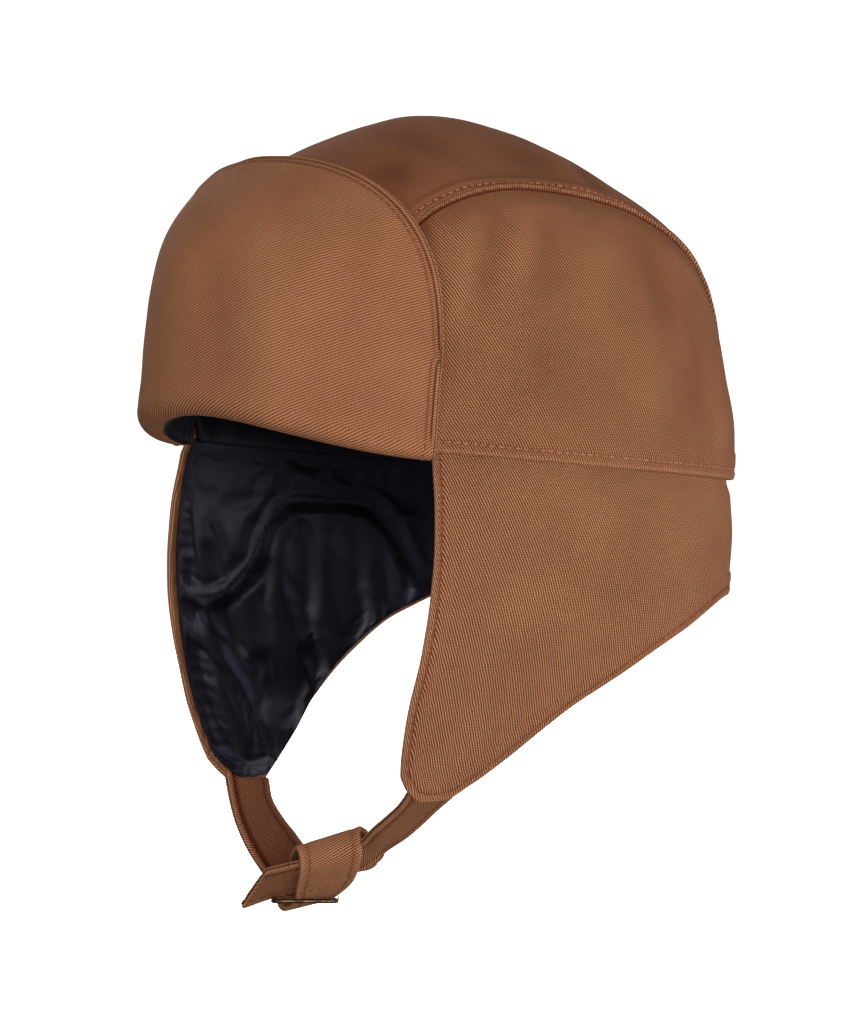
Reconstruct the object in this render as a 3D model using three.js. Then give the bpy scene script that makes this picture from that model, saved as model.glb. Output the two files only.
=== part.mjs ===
// A three-panel winter hat with a turned-up front flap, hanging ear flaps and a buckled chin strap.
// Millimetres, +Z up, the hat faces -Y and the wearer's left is +X.
// The shapes are drawn in the hat's own frame: z = 0 is the seam where the ear flaps hang from
// the crown. The finished hat is then tipped back a little and moved so that the point where
// the top of the head bears on the lining is the origin.
import * as THREE from "three";

const DEGREE = Math.PI / 180;

// Driving dimensions of the crown, outside of the cloth.
const HALF_LENGTH = 106;
const HALF_WIDTH = 86;
const CROWN_HEIGHT = 117;
const CROWN_LEAN = 14;
const PLAN_SQUARENESS = 2.15;
const FRONT_ARCH = 13;
const TIP_BACK = 5.7 * DEGREE;

// Cloth, padding, and the room between two pieces of cloth.
const TWILL = 1.5;
const QUILT = 2.6;
const SEAM_GAP = 0.4;
const LAYER_GAP = 0.9;

// The ear flaps start at the temples, this angle in front of the widest point. They are tucked
// this far into the crown, and swing out to its face over this much depth below the seam.
const TEMPLE_ANGLE = -35 * DEGREE;
const TUCK = 3;
const SWING_OUT = 6;

// Low down, an ear flap loses the oval's curve and flattens towards a plane this far out. The
// ear flaps begin where the oval is this wide.
const EAR_FLATNESS = 0.75;
const EAR_PLANE = 78;
const EAR_REACH = 70;
const FLATTEN_FROM = 30;
const FLATTEN_OVER = 80;
const LINING_MARGIN = 2.5;

// The turned-up front flap: its cloth, how far it is turned up inside the opening, how far it
// stands off the crown at the middle, and the height of its fold and of its top edge.
const FLAP_CLOTH = 2.4;
const FLAP_HEM = 9;
const FLAP_STANDOFF = 6.2;
const FOLD_AT_TEMPLE = -2.6;
const FOLD_AT_MIDDLE = 7;
const FLAP_SHOULDER = 20;
const FLAP_TOP = 96;
const FLAP_NARROWING = 0.14;
const FLAP_LEAN = 0.31;
const FLAP_SPAN = 0.994;

// How late the flap's shoulders round off, how square its top is, and how late it leans back
// along the crown.
const SHOULDER_POWER = 2.5;
const TOP_POWER = 0.32;
const LEAN_POWER = 4.5;

// Half of the top strip's spread, seen from the middle of the opening, along the hat. The
// station is 0 at the forehead, 90 at the very top and 180 at the back.
const STRIP_SPREAD = [
  { station: 0, spread: 38 },
  { station: 30, spread: 32.5 },
  { station: 57, spread: 27.5 },
  { station: 90, spread: 29 },
  { station: 122, spread: 26 },
  { station: 150, spread: 20 },
  { station: 180, spread: 15 },
];

// How the crown swells beyond a plain half ellipsoid, by how far up its side. The rise is 0 at
// the opening and 90 at the top.
const CROWN_SWELL = [
  { rise: 0, swell: 1 },
  { rise: 15, swell: 1 },
  { rise: 30, swell: 1.035 },
  { rise: 45, swell: 1.09 },
  { rise: 60, swell: 1 },
  { rise: 75, swell: 0.85 },
  { rise: 90, swell: 0.72 },
];

// How far the ear flaps and the neck piece hang below the seam, by distance from the temple.
const HEM_DEPTH = [
  { along: 0, depth: 112 },
  { along: 3, depth: 116.5 },
  { along: 8, depth: 119.5 },
  { along: 20, depth: 118.5 },
  { along: 30, depth: 113.5 },
  { along: 46, depth: 102.5 },
  { along: 63, depth: 88 },
  { along: 87, depth: 70 },
  { along: 111, depth: 55 },
  { along: 146, depth: 41 },
  { along: 213, depth: 37 },
];

// How an ear flap bellies outward and then closes towards the chin, by depth below the seam.
const EAR_BELLY = [
  { depth: -3, outward: 0 },
  { depth: 0, outward: 0 },
  { depth: 18, outward: 2.6 },
  { depth: 35, outward: 3.7 },
  { depth: 50, outward: 2 },
  { depth: 70, outward: -3.8 },
  { depth: 87, outward: -11 },
  { depth: 105, outward: -19 },
  { depth: 122, outward: -27 },
];

// How far behind the temple the ear flap's front edge lies, by depth below the seam.
const EAR_EDGE = [
  { depth: 0, behind: 0 },
  { depth: 35, behind: 0.9 },
  { depth: 70, behind: 3 },
  { depth: 87, behind: 4.3 },
  { depth: 105, behind: 8.4 },
  { depth: 122, behind: 16 },
];

// A smooth curve through a table's rows, read at a value of its first column.
function readTable(rows, x) {
  const [key, value] = Object.keys(rows[0]);
  const last = rows.length - 1;
  if (x <= rows[0][key]) return rows[0][value];
  if (x >= rows[last][key]) return rows[last][value];
  const slope = (i, j) => (rows[j][value] - rows[i][value]) / (rows[j][key] - rows[i][key]);
  const tangent = (i) => {
    if (i === 0) return slope(0, 1);
    if (i === last) return slope(last - 1, last);
    const before = slope(i - 1, i);
    const after = slope(i, i + 1);
    return before * after <= 0 ? 0 : (2 * before * after) / (before + after);
  };
  const i = rows.findIndex((row, n) => n < last && x < rows[n + 1][key]);
  const span = rows[i + 1][key] - rows[i][key];
  const t = (x - rows[i][key]) / span;
  const t2 = t * t;
  const t3 = t2 * t;
  return (
    rows[i][value] * (2 * t3 - 3 * t2 + 1) +
    tangent(i) * span * (t3 - 2 * t2 + t) +
    rows[i + 1][value] * (3 * t2 - 2 * t3) +
    tangent(i + 1) * span * (t3 - t2)
  );
}

const mix = (a, b, t) => a + (b - a) * t;
const clamp01 = (t) => Math.min(1, Math.max(0, t));
const smooth = (t) => clamp01(t) ** 2 * (3 - 2 * clamp01(t));
const steps = (count) => Array.from({ length: count + 1 }, (_, i) => i / count);

// Where a direction from the middle of the opening meets the crown. The plan is an oval, and the
// higher a section lies, the smaller it is and the further forward it sits.
function crownSurface(direction) {
  const plan =
    Math.abs(direction.x / HALF_WIDTH) ** PLAN_SQUARENESS +
    Math.abs(direction.y / HALF_LENGTH) ** PLAN_SQUARENESS;
  const reach = Math.max(1e-9, plan ** (1 / PLAN_SQUARENESS));
  const rise = Math.atan2(direction.z / CROWN_HEIGHT, reach);
  const size = Math.cos(rise) * readTable(CROWN_SWELL, rise / DEGREE);
  return new THREE.Vector3(
    (direction.x / reach) * size,
    (direction.y / reach) * size - CROWN_LEAN * Math.max(0, Math.sin(rise)) ** 3,
    CROWN_HEIGHT * Math.sin(rise),
  );
}

// The same point moved outward, square to the crown.
function crownPoint(direction, outward = 0) {
  const p = crownSurface(direction);
  if (outward === 0) return p;
  const aim = direction.clone().normalize();
  const level = new THREE.Vector3(-aim.y, aim.x, 0);
  if (level.length() < 1e-6) level.set(0, 1, 0);
  level.setLength(1e-3);
  const climb = new THREE.Vector3().crossVectors(aim, level);
  const span = (step) => crownSurface(aim.clone().add(step)).sub(crownSurface(aim.clone().sub(step)));
  return p.addScaledVector(span(level).cross(span(climb)).normalize(), outward);
}

// A direction by station along the hat and by angle off the middle line, both in radians.
function lateralDirection(station, aside) {
  return new THREE.Vector3(
    Math.sin(aside),
    -Math.cos(aside) * Math.cos(station),
    Math.cos(aside) * Math.sin(station),
  );
}

// The oval of the opening, at an angle from the wearer's left that grows towards the back.
function rimPoint(angle) {
  const direction = new THREE.Vector3(HALF_WIDTH * Math.cos(angle), HALF_LENGTH * Math.sin(angle), 0);
  return crownSurface(direction);
}

// Square to the oval, level and outward.
function rimOutward(angle) {
  const before = rimPoint(angle - 1e-3);
  const after = rimPoint(angle + 1e-3);
  return new THREE.Vector3(after.y - before.y, before.x - after.x, 0).normalize();
}

// 0 at the temple and 1 at the middle of the forehead, for an angle on the wearer's left.
const towardsForehead = (angle) => (TEMPLE_ANGLE - angle) / (TEMPLE_ANGLE + Math.PI / 2);

// The crown's lower edge is cut up over the forehead, inside the fold of the front flap.
const archHeight = (angle) => FRONT_ARCH * smooth(towardsForehead(angle));

const hat = new THREE.Group();
const twill = new THREE.MeshStandardMaterial({ color: 0x9c6a48, roughness: 0.9, metalness: 0 });
const satin = new THREE.MeshStandardMaterial({ color: 0x14131a, roughness: 0.45, metalness: 0 });
const bronze = new THREE.MeshStandardMaterial({ color: 0x5a4030, roughness: 0.35, metalness: 1 });

// A closed piece between an outer and an inner surface, both given over columns and rows.
// Columns run with the outer surface on their right, and points closer than the weld are one.
const WELD = 0.0025;
function addShell(name, material, { outer, inner, columns, rows, round = false, group = hat }) {
  const points = [];
  const known = new Map();
  const corner = (p) => {
    const key = p.toArray().map((c) => Math.round(c / WELD)).join();
    if (!known.has(key)) {
      known.set(key, points.length);
      points.push(p);
    }
    return known.get(key);
  };
  const out = columns.map((u) => rows.map((v) => corner(outer(u, v))));
  const back = columns.map((u) => rows.map((v) => corner(inner(u, v))));
  const faces = [];
  const triangle = (a, b, c) => {
    if (a !== b && b !== c && c !== a) faces.push(a, b, c);
  };
  const quad = (a, b, c, d) => {
    triangle(a, b, c);
    triangle(a, c, d);
  };
  const m = columns.length - 1;
  const n = rows.length - 1;
  for (let i = 0; i < m; i++) {
    for (let j = 0; j < n; j++) {
      quad(out[i][j], out[i + 1][j], out[i + 1][j + 1], out[i][j + 1]);
      quad(back[i][j], back[i][j + 1], back[i + 1][j + 1], back[i + 1][j]);
    }
    quad(out[i][0], back[i][0], back[i + 1][0], out[i + 1][0]);
    quad(out[i + 1][n], back[i + 1][n], back[i][n], out[i][n]);
  }
  if (!round) {
    for (let j = 0; j < n; j++) {
      quad(out[0][j + 1], back[0][j + 1], back[0][j], out[0][j]);
      quad(out[m][j], back[m][j], back[m][j + 1], out[m][j + 1]);
    }
  }
  const geometry = new THREE.BufferGeometry();
  const position = points.flatMap((p) => p.toArray());
  geometry.setAttribute("position", new THREE.Float32BufferAttribute(position, 3));
  geometry.setIndex(faces);
  const mesh = new THREE.Mesh(geometry, material);
  mesh.name = name;
  group.add(mesh);
}

// A surface moved square to itself, towards its right-hand side.
function offsetSurface(surface, distance) {
  const step = 2e-3;
  return (u, v) => {
    const alongU = surface(clamp01(u + step), v).sub(surface(clamp01(u - step), v));
    const alongV = surface(u, clamp01(v + step)).sub(surface(u, clamp01(v - step)));
    return surface(u, v).addScaledVector(alongU.cross(alongV).normalize(), distance);
  };
}

// A point of the top strip: share 0 at the forehead and 1 at the back, across -1 to 1.
const HALF_SEAM = SEAM_GAP / 2 / HALF_LENGTH;
function stripDirection(share, across, widen) {
  const aside = across * STRIP_SPREAD[0].spread * DEGREE;
  const angle = Math.atan2(-Math.cos(aside) / HALF_LENGTH, Math.abs(Math.sin(aside)) / HALF_WIDTH);
  const reach = rimPoint(angle).length();
  const start = Math.asin(archHeight(angle) / (reach * Math.cos(aside)));
  const station = mix(start, Math.PI, share);
  const spread = readTable(STRIP_SPREAD, station / DEGREE) * DEGREE;
  return lateralDirection(station, across * (spread + widen));
}

function addCrown() {
  const strip = (offset) => (u, v) => crownPoint(stripDirection(1 - u, 2 * v - 1, -HALF_SEAM), offset);
  const grid = { columns: steps(30), rows: steps(8) };
  addShell("crown_strip", twill, { outer: strip(0), inner: strip(-TWILL), ...grid });

  for (const [name, side] of [["crown_side_left", 1], ["crown_side_right", -1]]) {
    const seam = (share) => stripDirection(share, 1, HALF_SEAM);
    const rimAngle = (direction) => Math.atan2(direction.y / HALF_LENGTH, direction.x / HALF_WIDTH);
    const from = rimAngle(seam(0));
    const to = rimAngle(seam(1));
    const panel = (offset) => (u, v) => {
      const share = side > 0 ? u : 1 - u;
      const angle = mix(from, to, share);
      const rim = rimPoint(angle);
      rim.z = archHeight(angle);
      const direction = share === 0 ? seam(0) : rim.normalize().lerp(seam(share), v);
      direction.x *= side;
      return crownPoint(direction, offset);
    };
    addShell(name, twill, {
      outer: panel(0), inner: panel(-TWILL), columns: steps(22), rows: steps(8),
    });
  }
}
addCrown();

// Distance round the oval from the temple, against the angle.
const ROUND = (() => {
  const first = TEMPLE_ANGLE - 0.2;
  const rows = [];
  let along = 0;
  let before = rimPoint(first);
  for (const t of steps(300)) {
    const angle = mix(first, Math.PI / 2, t);
    const point = rimPoint(angle);
    along += point.distanceTo(before);
    before = point;
    rows.push({ along, angle });
  }
  const atTemple = rows.find((row) => row.angle >= TEMPLE_ANGLE).along;
  return rows.map((row) => ({ along: row.along - atTemple, angle: row.angle }));
})();
const TO_BACK = ROUND[ROUND.length - 1].along;

// The hanging sheet of both ear flaps and the neck piece, on the wearer's left: a point by the
// distance from the temple round the seam and by the depth below the seam.
function hangingPoint(along, depth) {
  const angle = readTable(ROUND, along);
  const rim = rimPoint(angle);
  const inset = mix(TWILL + LAYER_GAP, LAYER_GAP, smooth((depth - 1) / SWING_OUT));
  const p = rim.addScaledVector(rimOutward(angle), -inset);
  const ear = smooth(rim.x / EAR_REACH);
  const flatness = EAR_FLATNESS * smooth((depth - FLATTEN_FROM) / FLATTEN_OVER) * ear;
  p.x = mix(p.x, EAR_PLANE, flatness) + readTable(EAR_BELLY, depth) * ear;
  p.z = -depth;
  return p;
}

// The sheet over columns from the left temple round the back to the right temple, and rows from
// the hem to the top edge. The columns are closer together near the temples.
const CROWDING = 1.35;
function hangingSheet(top, margin) {
  return (u, v) => {
    const share = 1 - Math.abs(2 * u - 1);
    const along = TO_BACK * share ** CROWDING;
    const depth = mix(top, readTable(HEM_DEPTH, along) - margin, 1 - v);
    const behind = readTable(EAR_EDGE, depth) + margin;
    const p = hangingPoint(mix(behind, TO_BACK, along / TO_BACK), depth);
    if (u > 0.5) p.x *= -1;
    return p;
  };
}

const cloth = hangingSheet(-TUCK, 0);
addShell("ear_flaps", twill, {
  outer: cloth, inner: offsetSurface(cloth, -TWILL), columns: steps(38), rows: steps(9),
});

// The middle of the front flap's cloth, from its hem inside the opening, round the fold and up
// over the forehead. Across runs from -1 at the right temple to 1 at the left temple.
const foldHeight = (across) => mix(FOLD_AT_TEMPLE, FOLD_AT_MIDDLE, smooth(1 - across));
const HEM_SHARE = 0.1;
const FOLD_SHARE = 0.28;
const END_COLUMN = 0.01;
function flapSurface(u, v) {
  const across = -Math.cos(Math.PI * mix(END_COLUMN, 1 - END_COLUMN, u));
  const middle = 1 - across * across;
  const angle = FLAP_SPAN * across * (TEMPLE_ANGLE + Math.PI / 2) - Math.PI / 2;
  const fold = foldHeight(Math.abs(across));
  const inside = -TWILL - LAYER_GAP - FLAP_CLOTH / 2;
  const outside = SEAM_GAP + FLAP_CLOTH / 2 + FLAP_STANDOFF * middle;
  const radius = (outside - inside) / 2;
  const turn = Math.PI * clamp01((v - HEM_SHARE) / (FOLD_SHARE - HEM_SHARE));
  const stand = (inside + outside) / 2 - radius * Math.cos(turn);
  let height = fold + radius - radius * Math.sin(turn);
  if (v < HEM_SHARE) height = mix(fold + FLAP_HEM, fold + radius, v / HEM_SHARE);
  if (v > FOLD_SHARE) {
    const top = mix(FLAP_SHOULDER, FLAP_TOP, (1 - Math.abs(across) ** SHOULDER_POWER) ** TOP_POWER);
    height = mix(fold + radius, top, (v - FOLD_SHARE) / (1 - FOLD_SHARE));
  }
  const p = rimPoint(angle);
  if (v < FOLD_SHARE) {
    const alongCrown = Math.cos(Math.asin(Math.max(0, height) / CROWN_HEIGHT));
    p.multiplyScalar(mix(alongCrown, 1, turn / Math.PI));
  } else {
    const leaning = (Math.max(0, height) / FLAP_TOP) ** LEAN_POWER;
    p.x *= 1 - FLAP_NARROWING * leaning;
    p.y *= 1 - FLAP_LEAN * leaning;
  }
  p.z = height;
  return p.addScaledVector(rimOutward(angle), stand);
}
const flapRows = [
  0,
  ...steps(4).map((t) => mix(HEM_SHARE, FOLD_SHARE, t)),
  ...steps(8).slice(1).map((t) => mix(FOLD_SHARE, 1, t)),
];
addShell("front_flap", twill, {
  outer: offsetSurface(flapSurface, FLAP_CLOTH / 2),
  inner: offsetSurface(flapSurface, -FLAP_CLOTH / 2),
  columns: steps(28),
  rows: flapRows,
});

// The crown's quilted lining starts above the front flap's hem, and behind the temples it comes
// down over the tucked top of the ear flaps.
const LINING_LOW = -1;
const CORNER_RUN = 0.12;
const LINING_EASE = 10;
function liningEdge(angle) {
  const nearer = angle > Math.PI / 2 ? Math.PI - angle : angle;
  const across = 1 - clamp01(towardsForehead(nearer));
  const overHem = foldHeight(across) + FLAP_HEM + LAYER_GAP + SEAM_GAP;
  return mix(overHem, LINING_LOW, clamp01((nearer - TEMPLE_ANGLE) / CORNER_RUN));
}
function crownLining(inward) {
  return (u, v) => {
    const angle = mix(-Math.PI / 2, 1.5 * Math.PI, u);
    const lowest = Math.asin(liningEdge(angle) / CROWN_HEIGHT);
    const rise = mix(lowest, Math.PI / 2, v);
    const direction = rimPoint(angle).multiplyScalar(Math.cos(rise));
    direction.z = CROWN_HEIGHT * Math.sin(rise);
    const overTuck = 1 - smooth((direction.z - TUCK - 1) / LINING_EASE);
    const layers = TWILL + LAYER_GAP + overTuck * (TWILL + LAYER_GAP);
    return crownPoint(direction, -layers - inward);
  };
}
const corners = [TEMPLE_ANGLE, TEMPLE_ANGLE + CORNER_RUN].map((angle) => 0.25 + angle / (2 * Math.PI));
const liningColumns = [...steps(30), ...corners, ...corners.map((u) => 1 - u)].sort((a, b) => a - b);
const LOW_ROWS = [0, 0.05, 0.11];
const liningRows = [...LOW_ROWS, ...steps(12).slice(1).map((t) => mix(LOW_ROWS[2], 1, t))];
addShell("crown_lining", satin, {
  outer: crownLining(0), inner: crownLining(QUILT), columns: liningColumns, rows: liningRows, round: true,
});

const earLining = hangingSheet(-LINING_LOW + SEAM_GAP, LINING_MARGIN);
addShell("flap_lining", satin, {
  outer: offsetSurface(earLining, -TWILL - LAYER_GAP),
  inner: offsetSurface(earLining, -TWILL - LAYER_GAP - QUILT),
  columns: steps(34),
  rows: steps(8),
});

hat.rotation.x = -TIP_BACK;
hat.updateMatrix();

// The chin strap is drawn level, beside the tipped hat. Its two straps lap in a loop under the
// chin, which is turned to one side: run is the way along the loop, crosswise the way across
// the straps, and face is square to both, outward and down.
const chinStrap = new THREE.Group();
const LOOP_TURN = 52 * DEGREE;
const LOOP_SLOPE = 14 * DEGREE;
const LOOP_TILT = 52 * DEGREE;
const level = new THREE.Vector3(Math.cos(LOOP_TURN), Math.sin(LOOP_TURN), 0);
const sideways = new THREE.Vector3(Math.sin(LOOP_TURN), -Math.cos(LOOP_TURN), 0);
const upward = new THREE.Vector3(0, 0, 1);
const blend = (a, b, angle) =>
  a.clone().multiplyScalar(Math.cos(angle)).addScaledVector(b, Math.sin(angle)).normalize();
const run = blend(level, upward, LOOP_SLOPE);
const square = blend(upward, level, -LOOP_SLOPE);
const crosswise = blend(square, sideways, LOOP_TILT);
const face = blend(sideways, square, -LOOP_TILT);

const STRAP_WIDTH = 16;
const STRAP_CLOTH = 2;
const STRAP_ALONG_HEM = 12.5;
const STRAP_DROP = 1.6;
const HEM_ROWS = 0.04;
const lap = new THREE.Vector3(-2.1, -49.7, -141.9);
const inLoop = (along, outward, up) =>
  run.clone().multiplyScalar(along).addScaledVector(face, outward).addScaledVector(crosswise, up);
const atLap = (along, outward, up) => inLoop(along, outward, up).add(lap);

// A strap's route: the middle of the band, and the way across it towards its rear edge. The first
// row is the place on the hem, which is worked out.
const NEAR_ROUTE = [
  { middle: new THREE.Vector3(39, -44.3, -120.1), rear: new THREE.Vector3(-0.06, 0.99, 0.1) },
  { middle: new THREE.Vector3(25.2, -42.4, -127.1), rear: new THREE.Vector3(-0.2, 0.96, 0.05) },
  { middle: new THREE.Vector3(12.7, -40.6, -134.3), rear: inLoop(0.05, -0.38, -0.92) },
  { middle: atLap(12, 0.7, 0.8), rear: inLoop(0, -0.22, -0.97) },
  { middle: atLap(0, 1.6, 0.8), rear: inLoop(0, -0.2, -0.98) },
  { middle: atLap(-10, 1.6, 0.3), rear: inLoop(0, -0.14, -0.98) },
  { middle: new THREE.Vector3(-17.7, -70.3, -147.9), rear: inLoop(0, -0.1, -0.99) },
];
const FAR_ROUTE = [
  { middle: new THREE.Vector3(-43.6, -50.9, -124.8), rear: new THREE.Vector3(0.02, 1, -0.05) },
  { middle: new THREE.Vector3(-33, -53.6, -133), rear: new THREE.Vector3(0.34, 0.92, 0.21) },
  { middle: atLap(-19.5, -9.5, 1), rear: inLoop(0.35, -0.1, -0.93) },
  { middle: atLap(-20.1, -5, 0.2), rear: inLoop(0.1, -0.1, -0.99) },
  { middle: atLap(-15.9, -1.5, -0.4), rear: inLoop(0, -0.16, -0.98) },
  { middle: atLap(0, -1.7, -0.7), rear: inLoop(0, -0.2, -0.98) },
  { middle: atLap(9, -2.4, -1.5), rear: inLoop(0, -0.25, -0.97) },
  { middle: atLap(15, -4, -3), rear: inLoop(0, -0.3, -0.95) },
];

// A flat band along a route from an ear flap's hem. Cut says how much shorter it is at a place
// across the band.
function addStrap(name, side, rows, cut, columns) {
  const middleOfCloth = offsetSurface(cloth, -TWILL / 2);
  const onHem = (along, v) => {
    const share = (along / TO_BACK) ** (1 / CROWDING) / 2;
    return middleOfCloth(side > 0 ? share : 1 - share, v).applyMatrix4(hat.matrix);
  };
  const start = onHem(STRAP_ALONG_HEM, 0);
  const down = start.clone().sub(onHem(STRAP_ALONG_HEM, HEM_ROWS)).normalize();
  const behind = onHem(STRAP_ALONG_HEM + STRAP_WIDTH / 3, HEM_ROWS);
  const hemWay = behind.sub(onHem(STRAP_ALONG_HEM - STRAP_WIDTH / 3, HEM_ROWS)).normalize();
  const first = { middle: start.addScaledVector(down, STRAP_DROP), rear: hemWay };
  const route = [first, ...rows];
  const curve = new THREE.CatmullRomCurve3(route.map((row) => row.middle), false, "centripetal");
  const length = curve.getLength();
  const band = (offset) => (u, v) => {
    const share = u * (1 - cut(v) / length);
    const t = curve.getUtoTmapping(share);
    const row = Math.min(Math.floor(t * (route.length - 1)), route.length - 2);
    const turn = smooth(t * (route.length - 1) - row);
    const tangent = curve.getTangent(t);
    const rear = route[row].rear.clone().lerp(route[row + 1].rear, turn);
    rear.addScaledVector(tangent, -rear.dot(tangent)).normalize();
    const outward = tangent.clone().cross(rear).multiplyScalar(side);
    const p = curve.getPoint(t).addScaledVector(rear, (v - 0.5) * STRAP_WIDTH * side);
    return p.addScaledVector(outward, offset);
  };
  addShell(name, twill, {
    outer: band(STRAP_CLOTH / 2), inner: band(-STRAP_CLOTH / 2), columns: steps(columns), rows: steps(4),
    group: chinStrap,
  });
}
const STRAP_SLANT = 10;
const slantedEnd = (v) => STRAP_SLANT * (1 - v);
const roundEnd = (v) => (STRAP_WIDTH / 2) * (1 - Math.sqrt(Math.max(0, 1 - (2 * v - 1) ** 2)));
addStrap("strap_left", 1, NEAR_ROUTE, slantedEnd, 36);
addStrap("strap_right", -1, FAR_ROUTE, roundEnd, 46);

// The loop is a flattened ring of cloth round both straps. It slants, flares towards the wearer's
// left, and is narrower and swerves at its lower end, which passes through the buckle.
const LOOP_REACH = 13.8;
const LOOP_DEPTH = 7.2;
const LOOP_CLOTH = 1.6;
const LOOP_WIDTH = 20;
const LOOP_NARROW = 12;
const LOOP_FLARE = 0.16;
const LOOP_SQUARENESS = 0.7;
const LOOP_TAPER_END = 0.2;
const LOOP_SKEW = 0.38;
const LOOP_SWERVE = 6.4;
const loopMiddle = new THREE.Vector3(-3.2, -52.2, -142.5);
const loopSurface = (inset) => (u, v) => {
  const turn = -2 * Math.PI * u;
  const bulge = (value) => Math.sign(value) * Math.abs(value) ** LOOP_SQUARENESS;
  const opening = 1 + LOOP_FLARE * (v - 0.5) * Math.max(0, Math.sin(turn));
  const high = bulge(Math.sin(turn)) * (LOOP_REACH - inset) * opening;
  const deep = bulge(Math.cos(turn)) * (LOOP_DEPTH - inset) * opening;
  const width = mix(LOOP_NARROW, LOOP_WIDTH, smooth((high / LOOP_REACH + 1) / (1 + LOOP_TAPER_END)));
  const p = loopMiddle.clone().addScaledVector(crosswise, high).addScaledVector(face, deep);
  const swerve = LOOP_SWERVE * Math.max(0, -high / LOOP_REACH) ** 2;
  return p.addScaledVector(run, (v - 0.5) * width + LOOP_SKEW * high - swerve);
};
addShell("strap_loop", twill, {
  outer: loopSurface(0), inner: loopSurface(LOOP_CLOTH), columns: steps(32), rows: steps(4), round: true,
  group: chinStrap,
});

// The buckle is a flat rectangular frame round the loop's lower end.
const BUCKLE_LENGTH = 23.4;
const BUCKLE_BREADTH = 19.4;
const BUCKLE_BAR = 2;
const BUCKLE_THICKNESS = 1.5;
const BUCKLE_CORNER = 2.5;
const BUCKLE_ALONG = -5.8;
const BUCKLE_ASIDE = -5.6;
const BUCKLE_BELOW = -11.3;
function roundedRectangle(length, breadth, corner, path) {
  const x = length / 2 - corner;
  const y = breadth / 2 - corner;
  path.absarc(x, y, corner, 0, Math.PI / 2);
  path.absarc(-x, y, corner, Math.PI / 2, Math.PI);
  path.absarc(-x, -y, corner, Math.PI, 1.5 * Math.PI);
  path.absarc(x, -y, corner, 1.5 * Math.PI, 2 * Math.PI);
  return path;
}
function addBuckle() {
  const frame = roundedRectangle(BUCKLE_LENGTH, BUCKLE_BREADTH, BUCKLE_CORNER, new THREE.Shape());
  const insideLength = BUCKLE_LENGTH - 2 * BUCKLE_BAR;
  const insideBreadth = BUCKLE_BREADTH - 2 * BUCKLE_BAR;
  const insideCorner = BUCKLE_CORNER / 2;
  frame.holes.push(roundedRectangle(insideLength, insideBreadth, insideCorner, new THREE.Path()));
  const bar = { depth: BUCKLE_THICKNESS, bevelEnabled: false, curveSegments: 5 };
  const buckle = new THREE.Mesh(new THREE.ExtrudeGeometry(frame, bar), bronze);
  buckle.name = "strap_buckle";
  buckle.rotation.z = LOOP_TURN;
  buckle.position.copy(loopMiddle).addScaledVector(level, BUCKLE_ALONG);
  buckle.position.addScaledVector(sideways, BUCKLE_ASIDE).addScaledVector(upward, BUCKLE_BELOW);
  chinStrap.add(buckle);
}
addBuckle();

const root = new THREE.Group();
root.add(hat, chinStrap);
const seat = new THREE.Vector3(0, -CROWN_LEAN, CROWN_HEIGHT - TWILL - LAYER_GAP - QUILT);
root.position.copy(seat).applyEuler(hat.rotation).negate();
export default root;
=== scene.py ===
# %% [markdown]
# # A winter hat with ear flaps
# The hat is sewn from coarse brown twill over a quilted black satin lining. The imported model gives
# the frame: it says where each piece lies. This lesson makes the same surfaces again, much finer,
# so that hems, puckers and stitches have room to show. Shapes are worked out in millimetres, as on
# a cutting table, and turned into Blender's metres at the moment a mesh is made.

import math

import bpy
import numpy as np
from mathutils import Matrix, Vector, noise


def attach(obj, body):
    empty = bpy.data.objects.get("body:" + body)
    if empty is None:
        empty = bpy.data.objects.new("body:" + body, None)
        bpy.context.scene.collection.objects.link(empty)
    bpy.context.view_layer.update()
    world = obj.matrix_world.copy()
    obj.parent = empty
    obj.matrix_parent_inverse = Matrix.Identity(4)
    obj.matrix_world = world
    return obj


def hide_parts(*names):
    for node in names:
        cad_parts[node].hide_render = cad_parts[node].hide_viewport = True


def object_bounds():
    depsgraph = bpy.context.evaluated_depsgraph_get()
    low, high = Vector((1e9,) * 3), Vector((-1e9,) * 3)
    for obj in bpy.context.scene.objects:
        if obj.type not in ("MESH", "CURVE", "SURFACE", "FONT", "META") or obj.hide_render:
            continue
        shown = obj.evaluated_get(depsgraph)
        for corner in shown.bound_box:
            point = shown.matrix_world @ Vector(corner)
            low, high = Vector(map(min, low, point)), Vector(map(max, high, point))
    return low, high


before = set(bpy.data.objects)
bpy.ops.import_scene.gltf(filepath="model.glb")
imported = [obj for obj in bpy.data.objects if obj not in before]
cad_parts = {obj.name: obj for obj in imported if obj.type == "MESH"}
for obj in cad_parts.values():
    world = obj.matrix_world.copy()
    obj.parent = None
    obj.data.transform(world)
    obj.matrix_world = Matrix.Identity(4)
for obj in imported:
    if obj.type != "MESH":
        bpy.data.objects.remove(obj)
CAD_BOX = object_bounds()
MM = 0.001


def add_object(name, data):
    made = bpy.data.objects.new(name, data)
    bpy.context.scene.collection.objects.link(made)
    return made


print("nodes:", sorted(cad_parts))

# %% [markdown]
# ## The camera
# A product picture is taken with a long lens from far away, so the shapes hardly converge. The
# camera is placed by three plain facts: how far round the hat it stands, how far above it, and how
# many pixels one millimetre covers. Blender gives the sensor's width to the longer side of the
# picture, so the focal length follows from the picture's height. A camera looks along its own -Z.

# %% Place the camera
AZIMUTH = math.radians(52)
ELEVATION = math.radians(3)
DISTANCE = 3500
PIXELS_PER_MM = 2.87
PICTURE_HEIGHT = 1024
SENSOR = 36
RIM_CENTRE = Vector((0, 2.807, -112.837))
AIM_ASIDE = -6.8
AIM_UP = -19.9

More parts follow.
